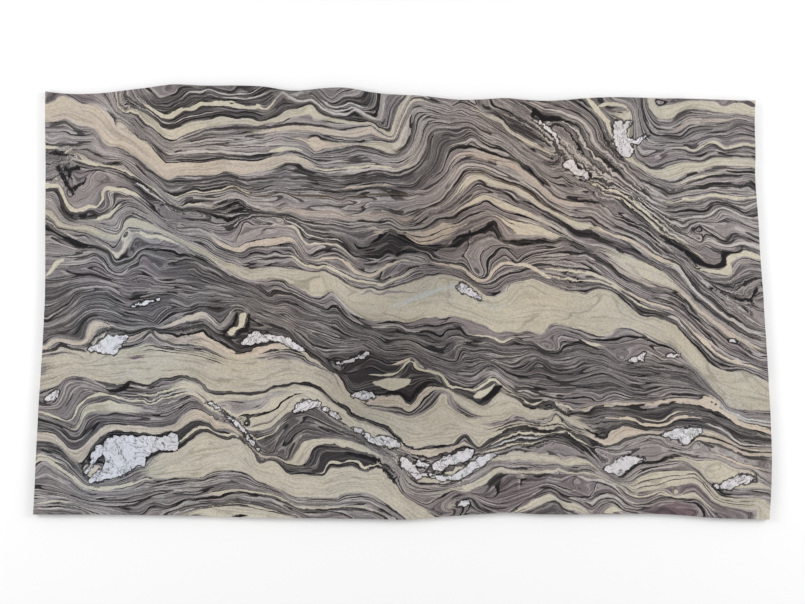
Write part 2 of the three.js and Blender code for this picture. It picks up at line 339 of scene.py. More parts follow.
BED_LINES = bed_lines("""
-6: 102 182.5, 112 182.8, 122 182.4, 132 182.8, 144 182.5
1.3: 46 178.5, 50 176.5, 53 174.3, 59 175.7, 61 178.2, 65 178.8, 68 178, 72 178.6, 82 176.7, 85 178.6,
 88 178.3, 91 178.8
1.3: 116 177.6, 123 171.8, 128 173.7, 130 174, 135.4 174.4, 137 177.5
4.4: 119.7 173.4, 123 170.6, 128.5 171, 130.5 172.1, 138 170.5, 140.3 174, 140.8 176.8
5: 48 171.8, 51 170.2, 56.5 170.2, 58.5 171.6, 62.5 172.8, 64 174.6, 66 175.4, 70 175.4, 72.6 177, 79 175,
 90 175, 97 178.3
7: 106 177.2, 110 174.7, 115.8 174.9, 121.6 169.7, 129 169.3, 132 170.3, 137 168.5, 141.8 170, 142.6 176.6
9.5: 46.5 171.1, 55 166.3, 61.5 169.5, 65.5 169.8, 70 172, 79 171.6, 90 170.3, 93 171, 96.3 170.2,
 100.4 173.6, 103 176.3, 109 172.9, 115.6 172.8, 121.7 168.4, 127 167.2, 129.5 167, 133.2 169.2,
 138 166.6, 143 165.9, 144.2 176.2
12: 134 165.6, 138 165.4, 144 162.2, 146.2 168, 147.2 171.8, 150 175.2
14: 188 172.5, 202 165.5, 207 163, 215 156
14.4: 35.6 176.8, 35.5 173, 38 169.8, 39.6 170.6, 46 167.8, 51 164.4, 53 162, 58 161.1, 65 164, 74 165.5,
 78 166.4, 84 165.3, 87 166, 91 165.5, 93.3 164.3, 101 166.4, 103.5 168.4, 106 169.5, 110 169.8,
 114.6 172, 118 168.2, 123 166.5, 133.5 164.3, 138 164.6, 141 163.9, 146.6 160.3, 149.1 165.2,
 150.1 168.8, 154.4 175
16.5: 190 168.5, 197 162.6, 205 158.4, 213 154.2
17: 33.3 176.4, 34.8 170.5, 38.2 167.6, 40 168.3, 42.5 167, 46.2 163.2, 49 162, 54 157.4, 58.4 156.4,
 61.5 158.3, 72.8 162.4, 86 163.5, 92.5 162.5, 96 163.5, 103.5 164.4, 106 166, 114 167, 117 165.6,
 131 163.2, 138 163.4, 141 162.3
18.4: 57.5 155.6, 68 159.2, 73 161, 88 161.6, 96 161.7, 107 163.4, 116 162.8, 127 161.2, 139 162.3,
 143 159.7, 147 158, 149.6 159.6, 154 170.6, 158.4 174.5, 171.2 171, 173.2 169.7, 177.3 171.2,
 187.5 166.8, 193.6 164.4, 197.3 160.2, 209.8 153.6, 214.6 151.2
22.3: 184 167.5, 195 160, 205 153, 214 148.6, 216.5 149.5
23.5: 100 158.6, 110 158.6, 114 157.8, 117 158.4, 121 156.5, 134 155.6, 137 156.5, 144 156.5, 147 155.6,
 150.7 157.6, 155 168.3, 158.5 171.4, 165.6 170, 173 168.4, 177 168.8
26.3: 116 150.6, 128 153, 136 154.2, 147 151.3, 153 152.8, 156.2 158, 158.6 168.5, 170 167.2, 181 165.4,
 195 157.9, 203.7 151.4, 213 145.9, 218 146.6, 219 148.5
27.6: 60 152.3, 72 153, 80 152.5, 90 152.4, 99 153, 104 153.8, 110 153.1, 114 151
30.3: 22 175.8, 29 172, 35 165.8, 37.5 164.9, 50 155, 55.5 149.5, 60 150.3, 66 150.2, 75 150.9, 90 149.7,
 100 150.9, 105 152.3, 111 151.2, 116 149, 126 148.6, 136 150.2, 143 149
31.8: 5 171.4, 8.7 172.6, 12.5 174.9, 20 171.6, 26.4 170.9, 32.3 165, 33.6 162.3, 35.5 162.1, 42.2 157.6,
 47 154.8, 53.4 148.5, 55.4 147, 64 147.5, 70 147.1, 79 148.7, 91 148, 106 150.8, 118.5 147.1
36: 121 143.9, 136 145.3, 140 145.8, 150 144.8, 157 147.8, 160.7 153, 164.6 162.3, 173.2 162.4,
 178.3 163.2, 181.4 162.4, 186 159.1, 196 155.6
37.3: 5 164.1, 8.7 164.2, 13.5 165.3, 18.3 162.9, 25.5 161.1, 29.8 155, 37.6 152.7, 46.2 147, 52 142.3,
 55.5 140.7, 60 142, 74.2 142.5, 79 143.7, 88 142.8, 100 145.2, 105 147.1, 110 146.7
38.3: 104 145, 118 142.3, 130 141.7, 142 144, 147 143.1, 151 143.3, 155 145
39.5: 5 160.2, 14 160, 16 158.9, 23.5 158.7, 25.2 159.4, 28 153.9
40: 29.5 152.7, 32.5 152.5, 41.7 149.2, 47.8 144.1, 55.4 139.8, 60 140.1, 70 140.1, 79 141.6, 89 139.9,
 101 140.9, 112 140.9, 126 139.1, 137 140.5, 142 141.3, 152 141, 161.6 148, 164.6 158.6, 169.2 160.9,
 174.8 159.9, 178.3 161.3, 181.4 160.9, 187.5 157.1, 195 154.6, 200.2 150.2, 206.8 146.4, 209.8 143.5,
 215.4 141.1, 218.4 142
42.5: 5 155.2, 9.2 154.2, 11 155.1, 20 154.3
44.6: 50 139.4, 57.5 134.1, 67 136.6, 70 136, 82 137.9, 86 136.2, 91 135.4, 101 136.9, 107 136.2,
 113 136.6, 127 135.2, 141 136.9, 154 135.8, 159.5 136.8, 163.8 140.7, 168.7 144.5, 171.4 152, 176 154.3,
 179.3 154.3, 180.6 155.6, 186.4 152.8, 199.7 148.2, 202.2 145.9, 207.8 141.4, 213.4 136, 220 132.4,
 233 131.2, 240.7 125.7, 244.2 124.8, 254 120, 266 109.8, 272 102.5, 275 99.8, 287 90.5, 297 83.5,
 301.5 80.3
46: 5 153.4, 10.5 152.6, 13 151, 14 153, 19 152.7
47: 66 134, 75 133.9, 83 135.9, 93.3 132.9, 102.4 135, 109 133.5, 119.2 133.2, 126.8 131.7, 130.4 132.7,
 144.6 134.1, 155.3 134, 159.5 135
50.3: 62 130.5, 66 131.7, 75 131.5, 82 133.8, 87 132, 90 130.2, 99 128.9, 102.4 128.2, 104.5 129.4,
 111.6 127.9, 119.5 127.9, 122 128.5, 127.3 127.1, 129 126.2, 136 126.3, 142.1 127.8, 151.2 125.9,
 155 126.8, 167 130.5, 172.2 135.5, 176.8 142.4, 178.8 144.2, 185.4 143.9, 190.5 141.4, 201.2 137.8,
 207 134
50.3: 230.1 124.6, 238.3 119.5, 249.6 115.1, 258.8 108.2, 265 106.2, 269.3 102, 274.2 95.1, 280.4 90.5,
 285.5 85.9, 292.2 81.8, 295.2 79.2, 303 77
53: 79 130.5, 85.2 132.2, 88.7 129.4, 95.3 127.4, 98.4 127.6, 101.5 126.5, 106.5 127.1, 111.6 125.1,
 124.3 124.6, 131 123, 136 124, 142.1 123.2, 143.6 124.1, 148.2 124.6, 152.2 121.9, 158 122.6,
 163.6 126.6, 169.7 127.6, 176.3 132.2, 183.4 138.8, 188.5 137, 196.6 135.6, 200 133
53: 14.3 149, 14.6 152.2, 19.3 151.5, 23.4 148.5, 30.5 146.5, 36.6 147.2, 39.1 144.6, 49.8 136.8,
 55.4 131.8, 61.5 128.7, 65 129.4, 74.2 128.4
56: 13.6 148.6, 18 148.9, 25 146.1, 37 144, 49 136.9, 55 132.1
56.6: 236.5 112.5, 249 107.4, 261 102, 271 93.8, 274 90.4, 284 82.3, 295.2 75.6, 302.5 73.6
57: 153 119.4, 160.6 119.6, 166.4 122.4, 167.9 124.2, 173.4 124.2, 177 127, 184.4 130.4, 187 131.6,
 194 127.6, 205.2 124.3, 217.4 118.5, 224 114.6, 231 112.8
57: 118 121.9, 124 121.5, 131 120, 141 121.6
60: 15 134.5, 17.5 138.3, 24 143.4, 30 143.9, 42 138.7, 47.8 134.9, 57.4 129.4, 63 127.7, 66.5 128.1,
 81 124.8
60: 134 112.2, 137 112.5, 145 117.2, 147.5 118.5, 155 115.2, 159.5 113.1, 168.2 113.4, 181.4 118.5,
 188.5 121.8, 190.3 122.3, 193.1 117.2, 195.6 115.2, 205.8 115.2, 208.8 116.2, 211.3 115.2, 214.9 114.9,
 217.9 115.7, 221 115.2, 224 113.4, 231.1 110.6
61.2: 10 141, 14 140.5, 20 133.5, 29 139.7, 37 138.8, 45 134
61.7: 50 130.3, 62 125, 72 123.6, 78 122.2
62.2: 5 137.4, 10.5 137, 14.2 129.9, 17 127.5, 21 127.8, 23 129, 27 128.8, 29.1 132, 30.6 136.4, 42 134.4,
 45 132.2
63: 91 126, 102 124.6, 104.5 122.9, 109.8 120.2, 112.6 116.5, 122 114.7, 126 114.5, 131.4 109.8,
 134 108.7, 142.5 108.3, 144.8 109.4, 147.2 110.6, 150.7 109.1, 155.5 111.3, 162.6 109.3, 165 107.2,
 174.8 105.4, 177.5 104.7, 181.4 100.8, 184.4 99.4, 186.6 99.8, 188 101.7, 189 106.6, 190.7 107.7,
 193.6 111.3, 195.5 111.2, 200 106.5
63.3: 5 135.6, 9.8 135.6, 14.2 126.6, 18 126, 20 125.3, 24 127.4, 28 126, 32.8 129.8, 32.3 134.5,
 33.4 135.2, 38.6 133.3, 41 133.5, 47 128.8, 54 123.5, 62 121.6
63.6: 86 123, 90 124, 104 121.4
64: 228 110.5, 235.5 106.5, 243.5 99.8, 256.8 94.4, 260.9 94.1, 266.5 91.8, 270.6 88.5, 272.2 85.9,
 284.5 76.2, 287.5 73.6, 291.6 72, 297 68, 302.7 66.4
64.4: 84 117, 92 120.3, 105 120, 108 118.4
64.6: 11 129, 14.2 125, 20 123.6, 30.5 125.9, 32.6 127.8
65.3: 55 121.4, 61 119, 70 118.7, 81.5 112.7, 86.5 112.9, 88.5 114.3, 102 116.8, 106 117.4, 109.3 114.5,
 112 110.4, 114 109.2
67.4: 60 117.9, 72 116.5, 77 112.7, 86 110.2, 90 112.6, 97 112.8, 104 113.9, 107.5 113.7, 112 108.4,
 117 107.4, 122 109.2, 127 108.6, 133.5 103.1, 139 101.7, 144 104.5, 147 105.6, 153 108
70.3: 86.5 107.8, 91 110, 97 109.8, 100 110.7, 103 109.7, 106.5 109.4, 110.7 106.4, 117 104.7, 121 105,
 133 99.7, 143 97.8, 146 98.4, 154 102.3
73.5: 107 107.8, 112 104.2, 118 103.1
76.6: 5 128.4, 7.7 127.4, 11.7 122.8, 17 121.4, 23 121.2, 28 119.3, 33 117.6, 36.3 119, 38.4 123.5,
 42.4 124.6, 57 118.1, 70 111.8, 72 110.4, 74.3 108.6, 81.6 106, 87 103.8, 91 103.3, 99 104, 110 103.2,
 116.7 102.3, 120.7 102.6, 130 97.4, 133 95.9, 136 95.2, 139.5 95.6, 143.6 94.9, 154 97.3, 166 101.1,
 176 99.9, 188 92.3, 193 93.2, 195.1 94.9, 196 96.9, 203 98.7, 207 99.1, 218 94.8, 225 93.9, 228 93,
 231.7 95.2, 236.8 95, 242.2 91.8, 250.3 84.6, 257.5 83.5, 265 80.7, 266.7 78.5, 275.7 68.6, 280 63.4,
 287 60.8, 294 61.3, 304 56.3
78.4: 124 97, 127 93.5, 131 91, 145 90, 155 89.7, 165 92, 175 92, 182 88.5, 190 85, 198 86, 206 88,
 214 88, 222 86.5, 230 84.5, 238 85, 250 81.5, 258 78.6, 263 75.5, 271 67.5, 279 58.5, 288 54.5, 294 53.8,
 304 50.5
79.3: 279 58, 287 51.5, 297 49.3, 304 48.6
79.5: 283 52, 288 49.5, 300 48.5, 304.6 47.5
80.6: 5 126, 9 122.8, 11 120.7, 23 118.5, 26 117.2, 33.5 115.7, 35.5 116.7, 38.6 120.6, 43.2 120.8,
 46.8 119.7, 53 118.3, 66 111.6, 72 108.3, 76.7 104.9, 88.2 99.3, 92 99.1, 102.4 99.2, 105.5 97.4,
 112 94.4, 114.6 92.3, 119.5 91.9, 122 93.3, 124.3 93.3, 130 86.6, 138 82.3, 149 82.3, 155 81.1,
 161.6 83.1, 164.6 82.8, 166.1 83.7, 168.7 83.1, 174.3 84.1, 186 80.5, 191 77.3, 196.2 78, 201.2 77.3,
 203.4 78.2, 209.4 76.8, 212.6 79, 213.6 80.7, 219 80.6, 232.5 76.2, 238 76.2, 242.3 79, 247.8 78.5,
 260.5 73.4, 266 70.2, 270.2 65.1, 275.8 60, 284 50.3, 289 46.1, 304.5 45
82: 197 75.3, 206 75, 210 74.5, 216 77.3, 220 76.8, 225 75.8, 230 73.6, 239 72.7, 251 73.6, 260 70
82.2: 5 124, 8 122.2, 10.5 119.7, 18 117.6, 22 117.5, 30.5 112.7, 32 110.9, 34.6 110.1, 36.6 111.3,
 40.8 118.8, 47.8 116.6, 52.3 116.6, 63 112.9
82.6: 232 71.6, 236 71.2, 241 69, 245 71, 251.5 71.8, 259 68.2
82.7: 36.5 108.5, 39 110.5, 42.8 116, 48 114.2, 60 112, 68 108.6
83.3: 5 121.2, 17 115.1, 29.6 111.5, 32.7 107.2, 34.6 106, 40.7 107.6, 44.4 111.3, 50 111.6, 57.4 111,
 60 109.5, 64.3 109.4, 76.7 103.4, 81.4 100.1, 91.3 96.3, 97.4 92.4, 99.5 93.8, 106.5 92.8, 114.6 89.2,
 121.2 86.9, 123.3 88.2, 125.6 87.9, 129.9 83.3, 138.5 79.3, 150 79.5, 154.3 77.4, 162.6 77.5, 167.7 75.6,
 169.4 76, 170.5 78, 175.8 78.5, 179.3 76, 188.5 75.2, 193.6 72.8, 197.7 74.2, 198.9 74.9, 202.7 72.8,
 205.8 72.9, 211.8 69.6, 216.8 70.1, 218.3 73.6, 221.5 73, 226.6 72.7, 232.5 70.2, 235.4 70, 242.7 65.6,
 246.8 67.2, 252.4 69.5, 257.6 67, 260.5 65.8, 263 66.4, 272.1 62.9, 274.7 60.8
86.5: 54 104.3, 67 105.3
87: 25 109.7, 28 108.6, 32.5 103, 36.6 102.1, 38.2 103.4, 43.7 106.4, 45.4 108.6
88.5: 100.4 89.2, 103.5 90, 106.5 89.4, 112.6 86.3, 121.5 83.4
90: 50 97, 65 96.2, 78 95, 88 92.3
90: 145.1 72.2, 155 73, 163.1 68.9, 174 66.2
92: 108.5 85, 111 83.6, 119.2 82.3, 123.3 81.1, 125 81.8
93: 177.3 69.4, 181 68.4, 188.5 69.1, 194.5 67.3, 201 68, 204.8 69.3, 207 69.2
95: 5 83, 14 88.5, 19.3 93.1, 30.2 94.5, 32.5 93.3, 39.1 90, 46.8 92.1, 55 93, 61.5 90.9, 64 89.2
95.5: 183.4 67.1, 193.6 65.1, 198.6 64.3, 206.8 67.8, 215.4 63.6, 222.5 63.6, 227.3 66
97: 230 63.6, 234 64, 247 59.5, 259 58.3
98.5: 178.3 63.3, 181 62.6, 188 65.3, 196.6 61, 203.2 60.2, 206.3 61.3
100: 111.6 77.3, 114.1 75.2, 120.7 72.7, 123.8 71.7, 137 72.3
103: 4.7 71.5, 9.5 74.9, 20 74, 21.5 76, 22.5 79, 26 82.7, 40 79.4, 45 80, 53 79.7, 60 82.8, 67 85, 70 86,
 75 83.2, 76.4 81.2, 77.6 81, 81 85.5, 84 87.4, 87 86.8, 91 83.2, 104.5 78.7, 110 73.8, 123 65.9,
 132 66.2, 138 69, 146 66, 150 65.8, 156 67
104.5: 181.4 55.5, 184.4 56.2, 189.6 59.7, 193.1 57.5, 199.6 52.7, 202.7 52.8, 206.8 51, 210 51.3,
 220 50.1, 229 50.4, 231.5 48.8, 234.1 48.6, 240.2 51, 246.3 49.4, 258.4 50.1, 264.5 52.1, 277.7 51.3,
 283.5 48.5
105.3: 117 68, 127 60.2, 137 61.5, 140 62, 148 61.2, 155.5 66, 157.5 65, 159 63, 168 60.3, 173 56.2,
 182 54.3, 189.6 58.6, 193.5 56, 196 53.8
106.5: 243 48.1, 256 48.8, 262 49.9, 270 49.8, 281 47, 289 42
108: 208 47.5, 213 48.5, 221 45, 229.5 44.3, 231 46, 242.7 46.6, 251.3 46.1, 265.5 48.2, 278.2 45.7,
 286.4 42.4, 291.4 39.1, 301 36.8, 305.1 34.8
109: 4 69.2, 9.5 70.5, 11 72.3, 16 70.6, 20.5 69.7, 22.2 68.3, 23.2 70.4, 29 75.8, 36 76.6, 40 75.8,
 47 78.6, 50 78.6, 52.3 77.2, 58 76.8, 59.6 75.6, 62 76.5, 65 76.6, 70.3 78.2, 72 76, 82.8 70.1,
 85.5 69.8, 98 73.1, 104.5 73.8, 109 71.3, 113.2 69.4, 115.2 67.1, 126 59.9, 130.6 53, 137 51.2, 146 51.5,
 151 50.9, 155.6 47.9, 160.6 53.7, 166 55.7, 174.5 52.1, 180.4 49.9, 186 47.3, 192.5 52.7, 194.6 52.1,
 199.6 49.9, 204.5 46.6, 213 45.7, 215.4 46, 220.5 42.9
113: 241.2 42, 248.8 41.1, 251.8 39.6, 259.5 39, 266.8 42.2, 274.2 42.2
113.5: 138 47, 150 46.1, 156 44.5, 163.8 51.8, 166 53.2, 169 53.6, 172 52.5
118: 182 40.5, 194.1 41.4, 197 43, 200 43.8, 209.8 41.7, 214.5 44, 216.5 44.3, 220.5 41.3, 233 35.4,
 236 34.6
118.5: 232 36, 235 35.8, 242 38.7, 246 39.2, 255 37, 263 38, 267 39, 276 38, 285 34.8, 289 32, 294 29.8,
 304.8 29
122.5: 172 39.3, 186 36.5, 191 37.2, 200 40.2, 210 39.2, 217 40.2, 223 37, 227 35.9, 234 32.6, 238 32.4
124: 262 34, 270 31.7, 273 33.6, 276 34.6, 285 32.5, 294 28.4, 304.8 27.8
127.3: 2.8 52.9, 10.8 55.8, 14 58.9, 20.4 59.1, 32 55.3, 37.7 55.8, 39.7 56.8, 44.8 55.3, 49.2 55.5,
 52.5 57.7, 57.4 58, 62.5 59, 69 56.2, 72.8 52.7, 86 52, 95.3 52.7, 98.6 54.8, 104.6 55.3, 108.6 56.6,
 117.8 54.2, 124.8 48.5, 129.6 46, 130.4 44.3, 132 42.9, 146.2 37.4, 154.2 30.5, 159.5 29.2, 162 29.9,
 173.3 30.6, 175.2 31.8, 178.6 34.3, 183.6 29.4, 189.6 33.6, 197.7 37.4, 203.7 38.3, 213 36.9, 217.4 38,
 221.6 36.4, 224 35.2, 226.6 34.9, 232 31.5
127.3: 232 32.8, 235.4 30.5, 241.7 31, 243.8 32.7, 253.3 35.1, 260.5 34.5
128.6: 2.6 49.4, 8 48.9, 13.5 57.6, 21 58, 30 54.4
129.7: 186 29.3, 199 35.7, 211 35.3, 219 36.3, 222 34.4, 229 31, 236 24.5
130: 271.6 30.8, 275.7 32.5, 289.9 28, 293 26.4, 305.4 25.4
130: 78 49.9, 90 50.2, 95 51, 98.5 53.4, 109 54, 117 52, 121.5 48, 128.5 43.7, 131 41, 143 34.5
130.6: 150 30, 153 28, 161 26, 164 25.2, 176 28.7, 178 29.9, 183 28.4, 186 28.8
131.5: 232 29, 236 26.3, 245 28, 255 30.5, 270 28, 275 28.6, 286 25.5, 292 23, 304.8 20
132: 2.2 45.4, 10 44.6, 13 45.5, 17 52, 19.5 54.5, 23 54.6, 35 51.3
132.5: 182 27.6, 190 30, 200 33.6, 204 33.3, 217 34.5, 225 30.7, 235 22.4
133.3: 88 42.9, 95 43.5, 101 46.3, 103 48.7, 109 51.8, 114.5 50.8, 121 45, 134 36.3, 144 31, 148 28
134: 2 44.6, 8 42.9, 15 41.3, 20.8 49, 29 51.8, 40 49.2, 43 49.6, 45.5 49.2, 47.5 47.9, 50 48, 52 49.7,
 58 51, 64 52.6, 69 49.9, 73 46, 77 44.8, 83 42, 86 41.5
134: 149 27.8, 157 23.4, 163 23, 167 20.9, 178 24.6, 181 26.1
134.7: 86 38.5, 90 36.9, 97.5 38, 102 42, 107 45.5, 109 47.7, 112 48.9, 115 48.2, 122 42.2, 130 37.4
135: 181 25.8, 195 29.3, 199 30.5, 208 30.2, 216 32.6, 226 27.8, 234 21.5
135: 237 21.2, 240 18.6, 243 18, 250 22.9, 257 24, 263 26, 269 26, 273 24.8, 284 24.2, 298 16.8,
 304.8 13.2
136: 2 43.9, 6 42.9, 12 40.2, 15 39.5, 17 38.4, 18.6 39.8, 21.5 46, 28 47.7, 43 47.1, 50 46.2, 60 48.6,
 65 50.4, 68 49.8, 73 45, 81 41.7
136: 88 36.2, 91 34.8, 98 36.5, 104 41.8, 112 44.2, 120 41, 131 36, 140 31.6, 146 28
136.2: 266 25, 271 24, 280 19.8, 292 20.6, 297 18.5
136.6: 150 25, 157 19.6, 160 18.6, 166 18.1, 178 23, 188 26.5
137.3: 90 34, 93 32.6, 99 34.9, 105 40.3, 113 42.3, 123 37.7, 132 34.8, 138 32
137.6: 243 16.6, 246 17.9, 249 20.3, 253 22, 265 24.3, 269 24, 274 21.2, 280 15.6, 292 13, 298 13.3,
 304.8 12
138: 2 42.6, 10 40, 18.2 36.6, 22 43.2, 28 44.8, 41 44.4, 52 43.6, 57 44.5, 66 48.9, 76 43.3
138.6: 93 30.5, 98 30.6, 107 38.7, 115 39.5, 124 36, 129 35
140: 1.8 39.7, 10 37.8, 15 33.2, 20 34, 25 40, 28 41.4, 40 41, 55 41.2, 66 47.5, 76 42.6, 83 39.5, 92 31,
 97 26.9, 102.5 29, 107.5 35, 110.5 37, 114 37.3, 123 34.8, 134 32.6, 144 27.5
140: 152 21, 159 15.8, 171.8 15.2
140: 171.7 15.2, 181.4 20.1, 188.5 23.7, 196.1 23.8, 200.2 24.5, 203 24, 206.3 24.2, 210 23.4, 217 23.1,
 219.5 22, 228.1 22.6, 231 21.4
141: 247 15, 253 18.6, 260.5 20.1, 270.6 20.1, 273.7 19.6, 280 13.4, 285.5 9.3, 301 8.9
142: 1.5 36.5, 9 35.2, 14.5 29.8, 19.5 29.5, 29 38, 36 38.8, 50 38, 58 39, 62 43.3, 68 45.6, 77 40.8,
 83 38.3, 93.5 27.4, 100 26.3, 105.5 24.6, 110.5 30.8, 113 32.5, 120 33.2, 131 32.2, 145 26
145: 1.4 32.5, 9 31.8, 16 24.8, 20 23.2, 22.5 26.5, 26 31.8, 31 35.7, 36.5 36, 48 35.3, 58 36, 66 41,
 72 40.3, 74 38.3, 76 37.5, 79 38, 85 35, 94 26.3, 100 25.2, 106 22.6, 111.5 22.7, 116.5 30, 126 30.3,
 138 27.4, 143 25.5
145: 156 12.5, 164 11.5, 175.2 13.2
145: 175.3 13.2, 182.9 15.5, 192.1 21.3, 197.6 20.4, 213.4 20.6, 216.9 21.5, 224 19.4, 227.6 20,
 231.1 19.1
145.5: 247 11, 254.4 12, 267.6 14.5, 270.6 15, 274.2 14.3, 282 6.9, 293 4.4, 298 4.4
147: 97 25, 100 24.7, 105.5 21.3, 116 20, 118.6 20.6, 121.7 25.4, 128 27, 134 26.5, 145 22.8, 151 17.5
147: 173.2 12, 179.3 11.5, 186.4 14, 192.1 18.4, 198.7 19.2, 208 18.6, 222 19, 233 17.6, 242.7 13.2,
 244.7 11.2, 250.3 9.4, 256.5 10.9, 259 12, 264.5 9.5, 271 10.3, 274.2 9.7, 280.8 3.9, 285.8 1.8
148.5: 48 25.5, 52 28, 56 28, 60 29.5, 68 35.5, 71.5 36.7, 79.6 33.5, 81.5 34, 84 34.2, 90.3 29.5,
 92.9 24.8, 94.8 23.8, 99.9 24.7, 105.6 19.4, 111.6 19.2, 118.2 18.3, 120.2 18.8, 122.8 22.4, 126 22.2,
 132.4 22.8, 134.9 21.2, 137.5 20.4, 143.6 21.8, 150.2 14.5, 153.3 9.9, 164.1 3.9, 168.3 1.7
148.5: 1.3 28.5, 5 28.3, 14 24.4, 21.5 16.5, 26 15.7, 34 17.3, 43 22.3, 46 22.6, 48 25.5
148.5: 160 6, 168 3, 173 4
148.8: 166 5, 174 10.5, 179 11.2, 188 9.2, 197 12, 209 15, 214 15.5, 227 10.6, 229.4 10, 231 11.6,
 238 12.7, 246 7.6, 253 6.6, 261 9.1, 270 8.3, 274.5 8, 280 2.4
151: 231 5.6, 233 8.2, 236.5 9.4, 240 8.6, 246 4.6, 256 4.6, 259 6.4, 273 5.6, 276 3.2
152.5: 172 4.5, 175 8.5, 181 9.6, 187 5, 197 3.4, 211 10, 213.5 10.8, 218 7.8, 226 5.7, 231 2.5
154: 233 3, 235.5 5.6, 238.5 6.4, 244 3, 248 2.4
154.4: 203 3, 213.5 7.6, 217 7, 219.5 4.3, 226 2.6
157.5: 205 1.2, 214 4.8, 218 3.2, 220 1.2
159: 163 -2, 175 -2.6, 190 -2.8, 200 -3
161.3: 2.1 24.7, 5.6 24.7, 15.3 18.5, 21.4 13.6, 31.5 13.1, 41.2 15, 46.3 17.3, 50 16.5, 64 17.6, 70 17.6,
 76 20, 85.2 19.8, 89.2 18.6, 92 16.2, 102 12.5, 108.5 9.4, 124.3 9, 127 10.4, 134.4 11.5, 142 9.4,
 154.2 0.3
165.5: 0.8 16, 5 16.5, 9 15.6, 15 11.8, 24 8.8, 37 8.3, 42 9.4, 48 10.7, 52 11.8, 67 13.4, 81 16.2,
 90 14.5
167.5: 50 9.2, 60 10.4, 67 10.2, 79 13, 92 12.1, 102 9.8, 108 6.2, 118 5.2, 130 5.7, 138 5.3, 149 0.5
169.5: 46 3, 49 5.5, 56 5.3, 63 8.5, 66 8.4, 74 9.4, 77 9.2, 83 11.4, 98 9.4, 110 4.2, 116 3.8, 128 4.6,
 138 4, 146 0.8
169.6: 0.5 9.2, 12 9.1, 22 6.2, 35 3.5, 38 2.8
172.5: 0.3 6.4, 12 7.6, 26 3.8, 30 2.8
173.5: 56 2.8, 67 5.8, 78 6.8, 82 7.8, 94 6.6, 105 2.8, 110 1.4
175.2: 0 4.5, 12 4.6, 20 3.4
176: 60 2.5, 72 5, 80 5.8, 88 5.6, 102 2.4, 108 1
178.5: 66 2.2, 74 3, 82 3.4, 97 1.8, 102 0.8
""")
print("bed lines", len(BED_LINES), "with", sum(len(points) for _, points in BED_LINES), "points")

# %% [markdown]
# The upper right corner of the slab is a block that slid along a fault, so its beds don't line up with
# the others. It has its own bed lines and its own depths, counted down from the top 270 cm along.

# %% Bed lines of the block beyond the fault
BLOCK_LINES = bed_lines("""
1.4: 256.1 174, 258.9 170.7, 272.1 173.1, 281.3 172.5, 283.3 171.2, 285.4 170.7, 290 172.5, 295.5 171.8,
 298 170.6
5: 253.4 174.1, 254.6 169.3, 258.4 165.7, 264.5 166, 266.2 167.8, 272.1 169.5, 287.5 167.4, 290 167.9,
 298 166.3
13.3: 250.8 174.1, 251.6 167.3, 255.5 159.6, 264.5 158.3, 267.6 158.7, 272.6 161.9, 285 163.1, 291 164.9,
 298 163.2
21.3: 240 174.6, 246.5 172, 249 165, 249.8 155.5, 252 152, 255.4 152.7, 268.1 153.6, 270.6 152.6,
 273.2 152.5, 278.7 155.5, 281.8 155.5, 286 153.2, 293 154.7, 298 154.2
26.5: 231.5 174.5, 237 170.3, 243.7 169.9, 246.9 166.8, 247 153, 249.3 148, 255.4 144.7, 259 144.5,
 267.6 147.5, 275.7 147.2, 281.8 149.1, 294.5 148.9, 298.3 147.6
31: 228 174.5, 236 165.8, 239.5 156.5, 245.5 148.5, 257.4 141.4, 264.5 140.4, 270.6 143.1, 282 145.8,
 295 145.9, 298.3 145.2
37.5: 199 174.4, 214 171.8, 225 167.6, 231.5 161.8, 232.5 158.5, 234 155.5, 244 146.5, 250 141,
 260.5 136.3, 263.5 135, 272.1 137.2, 277.7 137.3, 280 138.5, 292 137.8, 295 138.8, 298.5 136
42: 197 174.5, 206.8 168.9, 208.3 167.3, 211.3 165.7, 216.4 166.3, 222.5 163.4, 225 162.2, 231 152.5,
 242 143, 250.5 136, 255 132.5, 262.5 130.2, 268.6 131.8, 273.2 131.8, 281 133.5, 291 132, 299 133
46.3: 193 174.7, 205.8 166.4, 210.3 162.9, 213.9 161.9, 216.4 162.9, 221 160.2, 229 149, 238 142,
 248 135.2, 258 128.5, 265 126.9, 267.6 127.8, 277.5 127.8, 281.5 130.6, 291 128.1, 294 126.7, 299 129.5
50.5: 190.5 174.8, 192.3 172.3, 202 167.2, 213.5 158.8, 217 155.5, 228 145.6, 238 140.6, 248 134,
 258 126.8, 262 124.3, 266 123.5, 268.6 122.1, 270.3 123.6, 280.5 124.8, 284.5 127.7, 294 124
56: 271.8 119.2, 275.4 121.3, 283.8 115.4, 287.4 115.4, 290.6 117.9, 300.3 114.2
56: 188.5 173.6, 189.6 170.9, 198.6 166.9, 210.5 159.3, 220 148.8, 228.5 142, 243 136, 254.4 127.9,
 264.5 120.3, 275.9 114.4
62: 277 113.5, 282 110.5, 283.8 110.9, 289.4 110.4, 293.5 111.6, 300.6 109.3
66: 228.5 138.6, 234.5 133.8, 241 132, 249.3 125.5, 258 118.6, 270.1 111.1, 277.2 105.2, 283.8 104.5,
 286.4 105.5
69: 270.5 105.5, 274 103, 284 100.7, 287.8 101, 291.5 105.8, 294.5 107, 301 105.6
73: 273.5 101.8, 278 99, 283 97.5, 287.5 97.6, 294.5 101.4, 301.5 101.5
77: 277 98.8, 285.5 94.8, 289.5 94.2, 293 95.4, 299 99.3, 302 99
80: 282 94.8, 290 91.2, 294.5 90.6, 302 93
83.5: 288.5 90, 296 87.8, 299 86, 302.5 85
""")
FAULT = [
    (184, 184), (185, 174), (190, 169.5), (199, 165), (207, 160.5), (215, 153), (224, 142), (233, 132),
    (241, 128), (250, 124), (258, 117.5), (262, 113), (270, 105), (280, 97), (290, 89.5), (302, 80),
    (312, 73),
]
